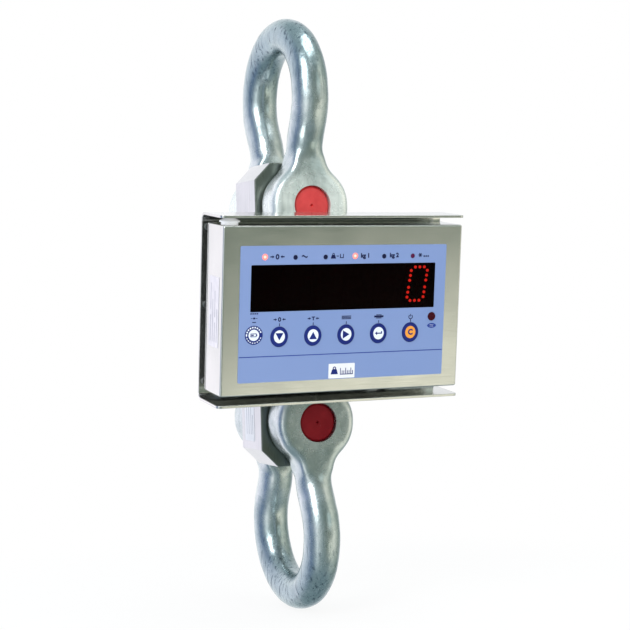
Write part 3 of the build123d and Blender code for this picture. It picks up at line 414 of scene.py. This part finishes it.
ZINC = galvanised_zinc()
RED = red_paint("red_paint", (0.60, 0.022, 0.026), (0.72, 0.045, 0.045), 0.5)
# Painted shade: the lower pin has the same red paint as the upper one, drawn darker and with less shine as
# its shaded copy.
SHADED_RED = red_paint("shaded_red_paint", (0.160, 0.003, 0.007), (0.205, 0.006, 0.010), 0.1)
CELL_STEEL = milled_steel()
STAINLESS = brushed_stainless()
SCREW_STEEL = plain_metal("screw_steel", (0.66, 0.66, 0.65), (0.52, 0.52, 0.52), 0.25)
NICKEL = plain_metal("nickel_brass", (0.72, 0.69, 0.62), (0.60, 0.57, 0.50), 0.18)
ALUMINIUM = plain_metal("aluminium", (0.74, 0.75, 0.76), (0.62, 0.63, 0.64), 0.34)
FOIL = plain_metal("gauge_foil", (0.78, 0.50, 0.22), (0.66, 0.40, 0.16), 0.35)
NYLON = plain_plastic("nylon", (0.78, 0.76, 0.68), (0.70, 0.68, 0.60), 0.45)
RUBBER = plain_plastic("black_rubber", (0.022, 0.022, 0.023), (0.035, 0.035, 0.036), 0.55, 400, 0.0002)
BLACK = plain_plastic("black_moulding", (0.010, 0.008, 0.008), (0.014, 0.012, 0.012), 0.50)
# Painted light: the vent cap's white plastic glows a little, lifting it out of the shade under the bracket's
# flange.
WHITE_PLASTIC_PAINTED_LIGHT = plain_plastic("white_plastic", (0.92, 0.92, 0.93), (0.88, 0.88, 0.90), 0.16, coat=0.6,
                              glow=0.25)
PAPER = plain_plastic("label_paper", (0.80, 0.80, 0.84), (0.74, 0.74, 0.79), 0.50)
SILVER_LABEL = plain_metal("silver_label", (0.78, 0.78, 0.80), (0.72, 0.72, 0.75), 0.30, 0.9)
LABEL_INK = plain_plastic("label_ink", (0.40, 0.40, 0.46), (0.33, 0.33, 0.38), 0.50, shine=0.2)
FILM = film_blue()
WINDOW = smoked_window()
NAVY = plain_plastic("navy_ink", (0.012, 0.024, 0.175), (0.009, 0.018, 0.140), 0.40, shine=0.12)
DARK_INK = plain_plastic("dark_ink", (0.012, 0.015, 0.075), (0.009, 0.011, 0.055), 0.42, shine=0.12)
LINE_INK = plain_plastic("line_ink", (0.030, 0.060, 0.300), (0.024, 0.050, 0.260), 0.40, shine=0.15)
KEY_WHITE = plain_plastic("key_white", (0.78, 0.83, 0.92), (0.73, 0.79, 0.90), 0.30)
KEY_ORANGE = plain_plastic("key_orange", (0.86, 0.34, 0.035), (0.80, 0.29, 0.025), 0.30)
LAMP_DARK = plain_plastic("lamp_dark", (0.006, 0.008, 0.050), (0.004, 0.006, 0.032), 0.30, shine=0.2)
LAMP_MAROON = plain_plastic("lamp_maroon", (0.11, 0.004, 0.050), (0.080, 0.003, 0.040), 0.30, shine=0.2)
LENS_RED = plain_plastic("lens_red", (0.050, 0.002, 0.008), (0.034, 0.001, 0.005), 0.22, shine=0.12)
DOT_OFF = plain_plastic("dot_off", (0.016, 0.004, 0.004), (0.012, 0.003, 0.003), 0.40)
BATTERY = plain_plastic("battery_wrap", (0.06, 0.065, 0.075), (0.045, 0.05, 0.06), 0.35)
BOARD = circuit_board()
DOT_LIT = glowing("dot_lit", (1.0, 0.44, 0.40), (1.0, 0.30, 0.26), 3.6)
LAMP_LIT = lit_lamp()

FINISHES = {
    ZINC: ("upper_shackle_bow", "lower_shackle_bow"),
    RED: ("upper_shackle_pin",),
    SHADED_RED: ("lower_shackle_pin",),
    NYLON: ("upper_pin_spacers", "lower_pin_spacers"),
    CELL_STEEL: ("load_cell", "front_gauge_cover", "rear_gauge_cover"),
    FOIL: ("strain_gauges",),
    BOARD: ("gauge_board", "display_board", "keypad_board", "main_board"),
    SCREW_STEEL: ("gauge_cover_screws", "cell_bolts", "bracket_bolts", "housing_screws", "cover_screws",
                  "housing_nuts", "board_posts"),
    NICKEL: ("cell_cable_gland", "indicator_gland", "charger_socket"),
    RUBBER: ("signal_cable", "cover_gasket", "socket_cap"),
    PAPER: ("cell_label", "name_plate"),
    SILVER_LABEL: ("rating_label",),
    ALUMINIUM: ("tilt_frame", "battery_strap"),
    STAINLESS: ("c_bracket", "housing_standoffs", "housing_front", "housing_rear_cover"),
    WHITE_PLASTIC_PAINTED_LIGHT: ("vent_cap",),
    FILM: ("keypad_film",),
    WINDOW: ("display_window",),
    NAVY: tuple(f"key_{name}" for name in KEY_NAMES),
    BLACK: ("key_switches", "digit_modules", "board_components"),
    LAMP_LIT: ("status_lamps_lit",),
    DOT_LIT: ("digit_dots_lit",),
    LAMP_DARK: ("status_lamps_dark",),
    LAMP_MAROON: ("function_lamp",),
    LENS_RED: ("infrared_receiver",),
    DOT_OFF: ("digit_dots_dark",),
    BATTERY: ("battery_pack",),
}

for finish, names in FINISHES.items():
    for name in names:
        nodes[name].data.materials.clear()
        nodes[name].data.materials.append(finish)


# ============================ forged bows ============================

EAR_NEAR = 30.25              # ears run this far from the middle plane, mm
EAR_FAR = 67.75
TAPPED_R = 20.75              # bore of the front ear, with its thread
PLAIN_R = 21.5                # bore of the rear ear
VOXEL = 1.7
FORGE_RELIEF = 0.22           # depth of the uneven forged skin, mm
PLUG_R = 23.1                 # plugs that close the bores while the skin is made
CUT_SPARE = 4.0               # cutters stand out this far from the ears
RELAX_ROUNDS = 9
SHARP_ANGLE = 50.0            # degrees
BORE_SIDES = 96
NECK_AT = 50.0                # from the pin to the middle of the neck
NECK_REACH = 27.0
NECK_ROUNDS = 45


def cylinder_y(bm, radius, from_y, to_y, z):
    """Adds a closed cylinder along Y to bm, over x = 0, in mm."""
    turn = Matrix.Rotation(math.radians(-90), 4, "X")
    place = Matrix.Translation(Vector((0, (from_y + to_y) / 2, z)) * MM)
    bmesh.ops.create_cone(bm, cap_ends=True, segments=BORE_SIDES, radius1=radius * MM, radius2=radius * MM,
                          depth=(to_y - from_y) * MM, matrix=place @ turn)


def object_from(name, bm):
    """Object made of a bmesh, which it frees."""
    mesh = bpy.data.meshes.new(name)
    bm.to_mesh(mesh)
    bm.free()
    made = bpy.data.objects.new(name, mesh)
    bpy.context.scene.collection.objects.link(made)
    return made


def apply_modifiers(made):
    """Puts an object's modifiers into its mesh."""
    shaped = bpy.data.meshes.new_from_object(made.evaluated_get(bpy.context.evaluated_depsgraph_get()))
    made.modifiers.clear()
    made.data = shaped


def forged_bow(name, node, body, pin_z):
    """A bow with the rounded, slightly uneven skin of a forging; its bores are cut after the skin is made."""
    bm = bmesh.new()
    bm.from_mesh(nodes[node].data)
    for side in (-1, 1):
        near, far = sorted((side * EAR_NEAR, side * EAR_FAR))
        cylinder_y(bm, PLUG_R, near, far, pin_z)
    bow = object_from(name, bm)
    skin = bow.modifiers.new("skin", "REMESH")
    skin.mode = "VOXEL"
    skin.voxel_size = VOXEL * MM
    relax = bow.modifiers.new("relax", "SMOOTH")
    relax.factor = 0.5
    relax.iterations = RELAX_ROUNDS
    apply_modifiers(bow)

    towards_crown = 1 if centre(node).z / MM > pin_z else -1
    neck_z = pin_z + towards_crown * NECK_AT
    neck = bow.vertex_groups.new(name="neck")
    for vertex in bow.data.vertices:
        away = abs(vertex.co.z / MM - neck_z)
        if away < NECK_REACH:
            neck.add([vertex.index], (1 - away / NECK_REACH) ** 0.5, "REPLACE")
    blend_neck = bow.modifiers.new("neck", "SMOOTH")
    blend_neck.vertex_group = "neck"
    blend_neck.factor = 0.5
    blend_neck.iterations = NECK_ROUNDS
    apply_modifiers(bow)

    moved = []
    for at, normal in [(vertex.co.copy(), vertex.normal.copy()) for vertex in bow.data.vertices]:
        dents = noise.noise(at * 55) + 0.5 * noise.noise(at * 130)
        moved.extend(at + normal * dents * FORGE_RELIEF * MM)
    bow.data.vertices.foreach_set("co", moved)
    bow.data.update()

    cutter = bmesh.new()
    for side, radius in ((-1, TAPPED_R), (1, PLAIN_R)):
        low, high = sorted((side * (EAR_NEAR - CUT_SPARE), side * (EAR_FAR + CUT_SPARE)))
        cylinder_y(cutter, radius, low, high, pin_z)
    bores = object_from(name + "_bores", cutter)
    cut = bow.modifiers.new("bores", "BOOLEAN")
    cut.operation = "DIFFERENCE"
    cut.solver = "EXACT"
    cut.object = bores
    apply_modifiers(bow)
    bpy.data.objects.remove(bores)

    bow.data.materials.clear()
    bow.data.materials.append(ZINC)
    bow.data.shade_smooth()
    bow.data.set_sharp_from_angle(angle=math.radians(SHARP_ANGLE))
    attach(bow, body)
    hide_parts(node)


upper_pin_z = centre("upper_shackle_pin").z / MM
lower_pin_z = centre("lower_shackle_pin").z / MM
forged_bow("upper_bow_forging", "upper_shackle_bow", "upper_shackle", upper_pin_z)
forged_bow("lower_bow_forging", "lower_shackle_bow", "lower_shackle", lower_pin_z)


# ============================ printed graphics ============================

def ellipse(rx, ry, at=(0, 0), steps=44):
    return [(at[0] + rx * math.cos(math.tau * i / steps), at[1] + ry * math.sin(math.tau * i / steps))
            for i in range(steps)]


def slab(width, height, at=(0, 0)):
    x, y = at
    return [(x - width / 2, y - height / 2), (x + width / 2, y - height / 2),
            (x + width / 2, y + height / 2), (x - width / 2, y + height / 2)]


def triangle(width, height, degrees):
    """Triangle round the origin, pointing up at 0 degrees."""
    turn = Matrix.Rotation(math.radians(degrees), 2)
    return [tuple(turn @ Vector(corner)) for corner in
            ((-width / 2, -height / 2), (width / 2, -height / 2), (0, height / 2))]


def arrow(length, head, stem, at, way):
    """Short arrow along x; way is 1 or -1."""
    x, y = at
    half = length / 2
    neck = half - head
    return [(x + way * px, y + py) for px, py in
            ((-half, -stem / 2), (neck, -stem / 2), (neck, -head * 0.75), (half, 0),
             (neck, head * 0.75), (neck, stem / 2), (-half, stem / 2))]


def wave(width, rise, thick, at, steps=20):
    """Swung dash as a closed outline."""
    middle = [(at[0] + width * (i / steps - 0.5), at[1] + rise * math.sin(math.tau * i / steps))
              for i in range(steps + 1)]
    return [(x, y + thick / 2) for x, y in middle] + [(x, y - thick / 2) for x, y in reversed(middle)]


def arc_band(radius, thick, start, end, at=(0, 0), steps=24):
    """Part of a ring, from start to end in degrees."""
    angles = [math.radians(start + (end - start) * i / steps) for i in range(steps + 1)]
    outer = [(at[0] + radius * math.cos(a), at[1] + radius * math.sin(a)) for a in angles]
    inner = [(at[0] + (radius - thick) * math.cos(a), at[1] + (radius - thick) * math.sin(a))
             for a in reversed(angles)]
    return outer + inner


class Ink:
    """Flat printed shapes on the display face, or another plane, gathered into one closed piece."""

    def __init__(self, name, out, thick=PRINT_T, plane=PANEL):
        self.name = name
        self.out = out
        self.thick = thick
        self.plane = plane
        self.solids = bmesh.new()

    def take(self, curve, at, scale):
        """Gives a filled curve the ink's thickness and adds it at its place on the plane."""
        curve.extrude = self.thick * MM / 2 / scale
        holder = bpy.data.objects.new("outline", curve)
        bpy.context.scene.collection.objects.link(holder)
        mesh = bpy.data.meshes.new_from_object(holder.evaluated_get(bpy.context.evaluated_depsgraph_get()))
        lift = Vector((at[0], at[1], self.out + self.thick / 2)) * MM
        mesh.transform(self.plane @ Matrix.Translation(lift) @ Matrix.Scale(scale, 4))
        self.solids.from_mesh(mesh)
        bpy.data.objects.remove(holder)

    def shape(self, *loops, at=(0, 0), scale=1.0):
        """A filled outline; further loops inside it are holes."""
        curve = bpy.data.curves.new("outline", "CURVE")
        curve.dimensions = "2D"
        curve.fill_mode = "BOTH"
        for loop in loops:
            spline = curve.splines.new("POLY")
            spline.points.add(len(loop) - 1)
            for point, (x, y) in zip(spline.points, loop):
                point.co = (x * MM, y * MM, 0, 1)
            spline.use_cyclic_u = True
        self.take(curve, at, scale)

    def text(self, words, size, at, align="LEFT", weight=0.05):
        """Letters or figures of a size in mm; weight thickens them by that part of their size."""
        curve = bpy.data.curves.new("outline", "FONT")
        curve.body = words
        curve.size = size * MM
        curve.align_x = align
        curve.align_y = "CENTER"
        curve.resolution_u = 3
        curve.offset = weight * size * MM
        self.take(curve, at, 1.0)

    def done(self, material, body):
        """Makes the piece, gives it its material and slot, and sets it on its body."""
        bmesh.ops.remove_doubles(self.solids, verts=self.solids.verts, dist=self.thick * MM / 20)
        bmesh.ops.recalc_face_normals(self.solids, faces=self.solids.faces)
        piece = object_from(self.name, self.solids)
        piece.data.materials.append(material)
        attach(piece, body)
        return piece


def zero_mark(ink, at, scale=1.0):
    """Arrows towards a nought."""
    ink.shape(arrow(4.4, 2.1, 1.2, (-5.4, 0), 1), at=at, scale=scale)
    ink.shape(ellipse(2.0, 2.7), ellipse(0.75, 1.35), at=at, scale=scale)
    ink.shape(arrow(4.4, 2.1, 1.2, (5.4, 0), -1), at=at, scale=scale)


def weight_mark(ink, at, scale=1.0):
    """Weight with a ring handle."""
    ink.shape([(-2.4, -2.1), (2.4, -2.1), (1.5, 0.9), (-1.5, 0.9)], at=at, scale=scale)
    ink.shape(ellipse(1.1, 1.1, (0, 1.5)), ellipse(0.5, 0.5, (0, 1.5)), at=at, scale=scale)


# Lamp legends, each to the right of its lamp.
LAMP_TEXT = 6.1
legends = Ink("lamp_legends", FILM_OUT)
lamp_u = [first_lamp + lamp_pitch * i for i in range(LAMP_COUNT)]
zero_mark(legends, (lamp_u[0] + 13.2, lamp_row))
legends.shape(wave(6.4, 0.75, 1.5, (0, 0)), at=(lamp_u[1] + 9.8, lamp_row))
weight_mark(legends, (lamp_u[2] + 8.4, lamp_row), 1.2)
legends.shape(slab(2.6, 0.9), at=(lamp_u[2] + 13.1, lamp_row))
legends.shape([(-2.1, 2.1), (-2.1, -2.1), (2.1, -2.1), (2.1, 2.1), (1.2, 2.1), (1.2, -1.2), (-1.2, -1.2),
               (-1.2, 2.1)], at=(lamp_u[2] + 17.8, lamp_row))
for lamp, words in ((3, "kg 1"), (4, "kg 2")):
    legends.text(words, LAMP_TEXT, (lamp_u[lamp] + 6.2, lamp_row))
for degrees in (0, 60, 120):
    ray = [tuple(Matrix.Rotation(math.radians(degrees), 2) @ Vector(corner)) for corner in slab(4.4, 1.0)]
    legends.shape(ray, at=(lamp_u[5] + 8.6, lamp_row))
for step in (0, 1, 2):
    legends.shape(ellipse(0.85, 1.0, steps=16), at=(lamp_u[5] + 13.2 + 2.3 * step, lamp_row - 1.2))
legends.done(DARK_INK, SCALE_BODY)

KEY_U = [on_panel(centre(f"key_{name}"))[0] for name in KEY_NAMES]
KEY_V = on_panel(centre("key_zero"))[1]
LEGEND_V = KEY_V + 17.2
POWER_V = KEY_V + 15.8
TICK_V = KEY_V + 11.9         # short tick between a key and its legend
BAR_SPREAD = 1.3

key_legends = Ink("key_legends", FILM_OUT)
zero_mark(key_legends, (KEY_U[0], LEGEND_V), 0.86)
for way in (1, -1):
    key_legends.shape(arrow(3.6, 1.8, 1.1, (-way * 4.4, 0), way), at=(KEY_U[1], LEGEND_V))
letter_t = [(-1.9, 1.9), (-1.9, 1.0), (-0.55, 0.8), (-0.55, -1.9), (0.55, -1.9), (0.55, 0.8), (1.9, 1.0),
            (1.9, 1.9)]
key_legends.shape(letter_t, at=(KEY_U[1], LEGEND_V))
for level in (-BAR_SPREAD, 0.0, BAR_SPREAD):
    key_legends.shape(slab(10.6, 0.85), at=(KEY_U[2], LEGEND_V + level))
key_legends.shape(slab(10.6, 1.9), at=(KEY_U[3], LEGEND_V))
key_legends.shape(slab(6.2, 0.8), at=(KEY_U[3], LEGEND_V + 1.6))
key_legends.shape(slab(6.2, 0.8), at=(KEY_U[3], LEGEND_V - 1.6))
key_legends.shape(arc_band(2.5, 0.85, 125, 415), at=(KEY_U[4], POWER_V))
key_legends.shape(slab(0.85, 2.5), at=(KEY_U[4], POWER_V + 1.6))
for u in KEY_U:
    key_legends.shape(slab(0.8, 2.8), at=(u, TICK_V))
key_legends.done(DARK_INK, SCALE_BODY)

# Key faces: a pale disc with a mark on it.
INNER_RX = 5.9
INNER_RY = 6.4
POINTING = {"zero": 180, "tare": 0, "mode": -90}
ENTER_ARROW = [(-4.1, 0), (-1.6, -2.0), (-1.6, -0.6), (4.0, -0.6), (4.0, 2.1), (2.8, 2.1), (2.8, 0.6),
               (-1.6, 0.6), (-1.6, 2.0)]
for name, u in zip(KEY_NAMES, KEY_U):
    disc = Ink(f"key_{name}_disc", KEY_OUT)
    disc.shape(ellipse(INNER_RX, INNER_RY), at=(u, KEY_V))
    last = name == "power"
    disc.done(KEY_ORANGE if last else KEY_WHITE, f"key_{name}_cap")
    mark = Ink(f"key_{name}_mark", KEY_OUT + PRINT_T)
    if name in POINTING:
        mark.shape(triangle(8.6, 7.4, POINTING[name]), at=(u, KEY_V))
    elif last:
        mark.text("C", 7.8, (u, KEY_V - 0.1), "CENTER", 0.05)
    else:
        mark.shape(ENTER_ARROW, at=(u, KEY_V))
    mark.done(NAVY, f"key_{name}_cap")

# Charge emblem left of the keys.
EMBLEM = (-98.4, -23.7)
EMBLEM_R = 9.5
EMBLEM_HOLE_R = 5.7
DASH_STEP = 19                # degrees
emblem = Ink("emblem_ring", FILM_OUT)
emblem.shape(ellipse(EMBLEM_R, EMBLEM_R), ellipse(EMBLEM_HOLE_R, EMBLEM_HOLE_R), at=EMBLEM)
emblem.done(NAVY, SCALE_BODY)
face = Ink("emblem_face", FILM_OUT)
face.shape(ellipse(EMBLEM_HOLE_R - 0.1, EMBLEM_HOLE_R - 0.1), at=EMBLEM)
face.done(KEY_WHITE, SCALE_BODY)
dashes = Ink("emblem_dashes", FILM_OUT + PRINT_T)
for first in range(18, 171, DASH_STEP):
    dashes.shape(arc_band(8.5, 1.5, first, first + 11, steps=4), at=EMBLEM)
    dashes.shape(arc_band(8.3, 1.0, -first, -first - 9, steps=4), at=EMBLEM)
dashes.done(KEY_WHITE, SCALE_BODY)
battery_mark = Ink("emblem_battery", FILM_OUT + PRINT_T)
battery_mark.shape(slab(6.4, 3.6, (-0.3, 0)), slab(5.0, 2.2, (-0.3, 0)), at=EMBLEM)
battery_mark.shape(slab(0.8, 1.6, (3.3, 0)), at=EMBLEM)
battery_mark.shape(slab(2.6, 1.3, (-1.3, 0)), at=EMBLEM)
battery_mark.done(NAVY, SCALE_BODY)
charge_marks = Ink("charge_marks", FILM_OUT)
for step in range(4):
    charge_marks.shape(slab(1.6, 1.3), at=(EMBLEM[0] - 3.4 + 2.2 * step, -2.4))
charge_marks.shape(ellipse(1.2, 1.0, steps=20), at=(EMBLEM[0], -7.0))
charge_marks.shape(slab(1.8, 0.6), at=(EMBLEM[0] - 2.6, -7.0))
charge_marks.shape(slab(1.8, 0.6), at=(EMBLEM[0] + 2.6, -7.0))
charge_marks.shape(slab(4.1, 0.9), at=(EMBLEM[0], -10.9))
charge_marks.done(DARK_INK, SCALE_BODY)

# Receiver sign under the lens: an eye with wave lines.
RECEIVER = on_panel(centre("infrared_receiver"))
EYE = (RECEIVER[0] + 0.5, RECEIVER[1] - 9.6)
EYE_HALF_W = 5.4
EYE_HALF_H = 2.6
EYE_STEPS = 20
eye_angles = [math.pi * i / EYE_STEPS for i in range(EYE_STEPS + 1)]
eye_half = [(EYE_HALF_W * math.cos(angle), EYE_HALF_H * math.sin(angle) ** 1.4) for angle in eye_angles]
eye = Ink("receiver_sign", FILM_OUT)
eye.shape(eye_half + [(x, -y) for x, y in reversed(eye_half[1:-1])], at=EYE)
eye.done(LINE_INK, SCALE_BODY)
waves = Ink("receiver_waves", FILM_OUT + PRINT_T)
for level in (0.7, -0.7):
    waves.shape(wave(4.2, 0.20, 0.26, (0, level)), at=EYE)
waves.done(KEY_WHITE, SCALE_BODY)

# Line across the film over the plate.
RULE_W = 227.5
RULE_V = -45.4
rule = Ink("film_rule", FILM_OUT)
rule.shape(slab(RULE_W, 0.9), at=(0, RULE_V))
rule.done(LINE_INK, SCALE_BODY)

# Weight and graduation on the small plate.
PLATE = on_panel(centre("name_plate"))
GRADUATIONS = 8
GRADUATION_STEP = 1.95
plate_marks = Ink("plate_marks", PLATE_OUT)
weight_mark(plate_marks, (PLATE[0] - 8.2, PLATE[1] + 0.2), 1.7)
for step in range(GRADUATIONS):
    tall = 6.0 if step % 3 == 0 else 3.4
    bar_middle = (PLATE[0] - 1.4 + GRADUATION_STEP * step, PLATE[1] - 3.2 + tall / 2)
    plate_marks.shape(slab(0.8, tall), at=bar_middle)
plate_marks.shape(slab(14.6, 0.8), at=(PLATE[0] + 5.4, PLATE[1] - 3.6))
plate_marks.done(NAVY, SCALE_BODY)


def side_plane(node, across, up):
    """Plane on the outer face of a label that looks along -X, and the label's half width and height in mm."""
    spots = [vertex.co for vertex in nodes[node].data.vertices]
    spans = []
    for axis in (across, up):
        along = [spot.dot(axis) for spot in spots]
        spans.append((min(along), max(along)))
    origin = across * sum(spans[0]) / 2 + up * sum(spans[1]) / 2
    origin.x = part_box(node)[0].x
    plane = Matrix.Translation(origin) @ Matrix((across, up, -ACROSS)).transposed().to_4x4()
    return plane, *((high - low) / 2 / MM for low, high in spans)


def ruled_label(name, node, across, up, lines):
    """Plain bars along a label; each line is (place across, from, to) in parts of the half sizes."""
    plane, half_width, half_height = side_plane(node, across, up)
    bars = Ink(name, 0.0, plane=plane)
    for place_across, start, stop in lines:
        bars.shape(slab(0.9, (stop - start) * half_height,
                        (place_across * half_width, (start + stop) / 2 * half_height)))
    bars.done(LABEL_INK, SCALE_BODY)


ruled_label("rating_label_lines", "rating_label", OUTWARD, UPWARD,
            ((-0.62, -0.85, -0.10), (-0.62, 0.05, 0.80), (-0.20, -0.85, 0.35), (0.22, -0.85, -0.30),
             (0.22, -0.15, 0.60), (0.64, -0.85, 0.10)))
ruled_label("cell_label_lines", "cell_label", Vector((0, -1, 0)), Vector((0, 0, 1)),
            ((-0.60, -0.80, 0.80), (-0.15, -0.80, 0.30), (0.30, -0.80, 0.60), (0.65, -0.80, -0.20)))


# ============================ studio ============================

FLOOR_GAP = 0.0005
FLOOR_HALF = 12.0
FLOOR_NEAR = 0.66             # the floor fades to white between these distances from the origin, in metres
FLOOR_FAR = 0.85
floor_z = cad_box[0].z - FLOOR_GAP
floor_mesh = bmesh.new()
bmesh.ops.create_grid(floor_mesh, x_segments=8, y_segments=8, size=FLOOR_HALF,
                      matrix=Matrix.Translation((0, 0, floor_z)))
floor = object_from("floor", floor_mesh)


def floor_material():
    """Pale floor whose far part and most of its tone are plain white to the camera."""
    s = Shader("pale_floor")
    diffuse = s.tree.nodes.new("ShaderNodeBsdfDiffuse")
    grain = s.noise(40, 3, 0.5)
    pale = s.mix(s.remap(grain, 0.3, 0.7, 0.0, 1.0), (0.90, 0.90, 0.89), (0.93, 0.93, 0.92))
    s.put(diffuse.inputs["Color"], pale)
    white = s.tree.nodes.new("ShaderNodeEmission")
    path = s.tree.nodes.new("ShaderNodeLightPath")
    blend = s.tree.nodes.new("ShaderNodeMixShader")
    distance = s.tree.nodes.new("ShaderNodeVectorMath")
    distance.operation = "LENGTH"
    s.put(distance.inputs[0], s.coords)
    fade = s.remap(distance.outputs["Value"], FLOOR_NEAR, FLOOR_FAR, 0.90, 1.0, smooth=True)
    s.put(blend.inputs["Fac"], s.sums("MULTIPLY", path.outputs["Is Camera Ray"], fade))
    s.tree.links.new(diffuse.outputs["BSDF"], blend.inputs[1])
    s.tree.links.new(white.outputs["Emission"], blend.inputs[2])
    s.tree.links.new(blend.outputs["Shader"], s.output.inputs["Surface"])
    return s.material


floor.data.materials.append(floor_material())
floor.visible_glossy = False

# What the metal sees round it: colour by azimuth in degrees, from -Y towards +X.
RING = (
    (-180, (1.30, 1.30, 1.32)), (-150, (1.28, 1.24, 1.38)), (-120, (0.80, 0.84, 1.00)),
    (-98, (0.12, 0.21, 0.42)), (-72, (0.38, 0.45, 0.56)), (-50, (1.50, 1.50, 1.50)),
    (-36, (0.50, 0.56, 0.57)), (-20, (0.34, 0.42, 0.42)), (0, (0.20, 0.25, 0.22)),
    (25, (0.16, 0.20, 0.16)), (38, (0.36, 0.38, 0.32)), (52, (1.20, 1.17, 1.00)),
    (75, (0.72, 0.74, 0.64)), (103, (0.34, 0.40, 0.36)), (140, (0.90, 0.92, 0.96)),
    (180, (1.30, 1.30, 1.32)),
)
# Patches over the ring: azimuth and elevation, inner and outer radius, all in degrees, and colour.
LOBES = (
    (0, 90, 22, 62, (0.46, 0.56, 0.60)),
    (0, -90, 22, 66, (0.30, 0.39, 0.43)),
    (20, -15, 12, 24, (0.23, 0.28, 0.23)),
    (24, -5, 4, 11, (0.15, 0.19, 0.15)),
    (31, 15, 7, 16, (0.85, 0.95, 0.90)),
    (32, -25, 7, 15.0, (1.25, 1.22, 1.03)),
)
BRIGHTEST = 1.5


def surroundings():
    """World that is plain white to the camera, and the ring with its patches to everything else."""
    world = bpy.data.worlds.new("studio")
    bpy.context.scene.world = world
    world.use_nodes = True
    tree = world.node_tree
    tree.nodes.clear()

    def add(kind, inputs=(), **settings):
        node = tree.nodes.new(kind)
        for name, value in settings.items():
            setattr(node, name, value)
        for socket, value in inputs:
            if isinstance(value, bpy.types.NodeSocket):
                tree.links.new(value, node.inputs[socket])
            else:
                node.inputs[socket].default_value = value
        return node

    direction = add("ShaderNodeTexCoord").outputs["Generated"]
    parts = add("ShaderNodeSeparateXYZ", [(0, direction)])
    forward = add("ShaderNodeMath", [(0, parts.outputs["Y"]), (1, -1.0)], operation="MULTIPLY")
    turn = add("ShaderNodeMath", [(0, parts.outputs["X"]), (1, forward.outputs[0])], operation="ARCTAN2")
    along = add("ShaderNodeMapRange", [("Value", turn.outputs[0]), ("From Min", -math.pi),
                                       ("From Max", math.pi)])
    ring = add("ShaderNodeValToRGB", [("Fac", along.outputs["Result"])])
    elements = ring.color_ramp.elements
    while len(elements) < len(RING):
        elements.new(0.5)
    for element, (degrees, colour) in zip(elements, RING):
        element.position = (degrees + 180) / 360
        element.color = (*(level / BRIGHTEST for level in colour), 1)
    total = ring.outputs["Color"]
    for *aim, inner, outer, colour in LOBES:
        azimuth, elevation = map(math.radians, aim)
        towards = Vector((math.sin(azimuth) * math.cos(elevation), -math.cos(azimuth) * math.cos(elevation),
                          math.sin(elevation)))
        facing = add("ShaderNodeVectorMath", [(0, direction), (1, towards)], operation="DOT_PRODUCT")
        weight = add("ShaderNodeMapRange", [("Value", facing.outputs["Value"]),
                                            ("From Min", math.cos(math.radians(outer))),
                                            ("From Max", math.cos(math.radians(inner)))],
                     interpolation_type="SMOOTHSTEP")
        scaled = (*(level / BRIGHTEST for level in colour), 1)
        mixed = add("ShaderNodeMix", data_type="RGBA")
        tree.links.new(weight.outputs["Result"], mixed.inputs["Factor"])
        tree.links.new(total, mixed.inputs[6])
        mixed.inputs[7].default_value = scaled
        total = mixed.outputs[2]
    seen = add("ShaderNodeBackground", [("Color", total), ("Strength", BRIGHTEST)])
    plain = add("ShaderNodeBackground", [("Color", (1, 1, 1, 1))])
    path = add("ShaderNodeLightPath")
    blend = add("ShaderNodeMixShader", [(0, path.outputs["Is Camera Ray"]), (1, seen.outputs[0]),
                                        (2, plain.outputs[0])])
    add("ShaderNodeOutputWorld", [("Surface", blend.outputs[0])])


surroundings()
bpy.context.scene.view_settings.view_transform = "Standard"


def softbox(name, towards, distance, width, height, power, colour):
    """Area light that looks at the load cell."""
    light = bpy.data.lights.new(name, "AREA")
    light.shape = "RECTANGLE"
    light.size = width
    light.size_y = height
    light.energy = power
    light.color = colour
    lamp = bpy.data.objects.new(name, light)
    away = Vector(towards).normalized()
    lamp.location = CELL + away * distance
    lamp.rotation_euler = away.to_track_quat("Z", "Y").to_euler()
    lamp.visible_camera = False
    bpy.context.scene.collection.objects.link(lamp)
    return lamp


softbox("key_light", (-0.75, -0.60, 0.60), 2.2, 0.9, 1.4, 22, (0.97, 0.98, 1.0))
softbox("top_light", (0.15, -0.25, 1.00), 1.8, 1.2, 0.8, 12, (1.0, 1.0, 1.0))
fill = softbox("fill_light", (0.10, -1.00, 0.05), 1.9, 1.8, 1.8, 14, (1.0, 1.0, 1.0))
fill.visible_glossy = False

# ============================ camera ============================

AZIMUTH = math.radians(-24.57)
ELEVATION = math.radians(0.43)
ROLL = math.radians(-1.53)
DISTANCE = 1.705
LENS = 88.9
target = CELL + Vector((0.0302, 0, -0.0017))        # what the middle of the picture shows
back = Vector((math.sin(AZIMUTH) * math.cos(ELEVATION), -math.cos(AZIMUTH) * math.cos(ELEVATION),
               math.sin(ELEVATION)))
level = (-back).cross(Vector((0, 0, 1))).normalized()
upright = level.cross(-back)
cam_x = level * math.cos(ROLL) + upright * math.sin(ROLL)
cam_y = upright * math.cos(ROLL) - level * math.sin(ROLL)
lens = bpy.data.cameras.new("camera")
lens.lens = LENS
lens.sensor_width = 36
camera = bpy.data.objects.new("camera", lens)
place = target + back * DISTANCE
camera.matrix_world = Matrix((
    (cam_x.x, cam_y.x, back.x, place.x),
    (cam_x.y, cam_y.y, back.y, place.y),
    (cam_x.z, cam_y.z, back.z, place.z),
    (0, 0, 0, 1)))
bpy.context.scene.collection.objects.link(camera)
bpy.context.scene.camera = camera
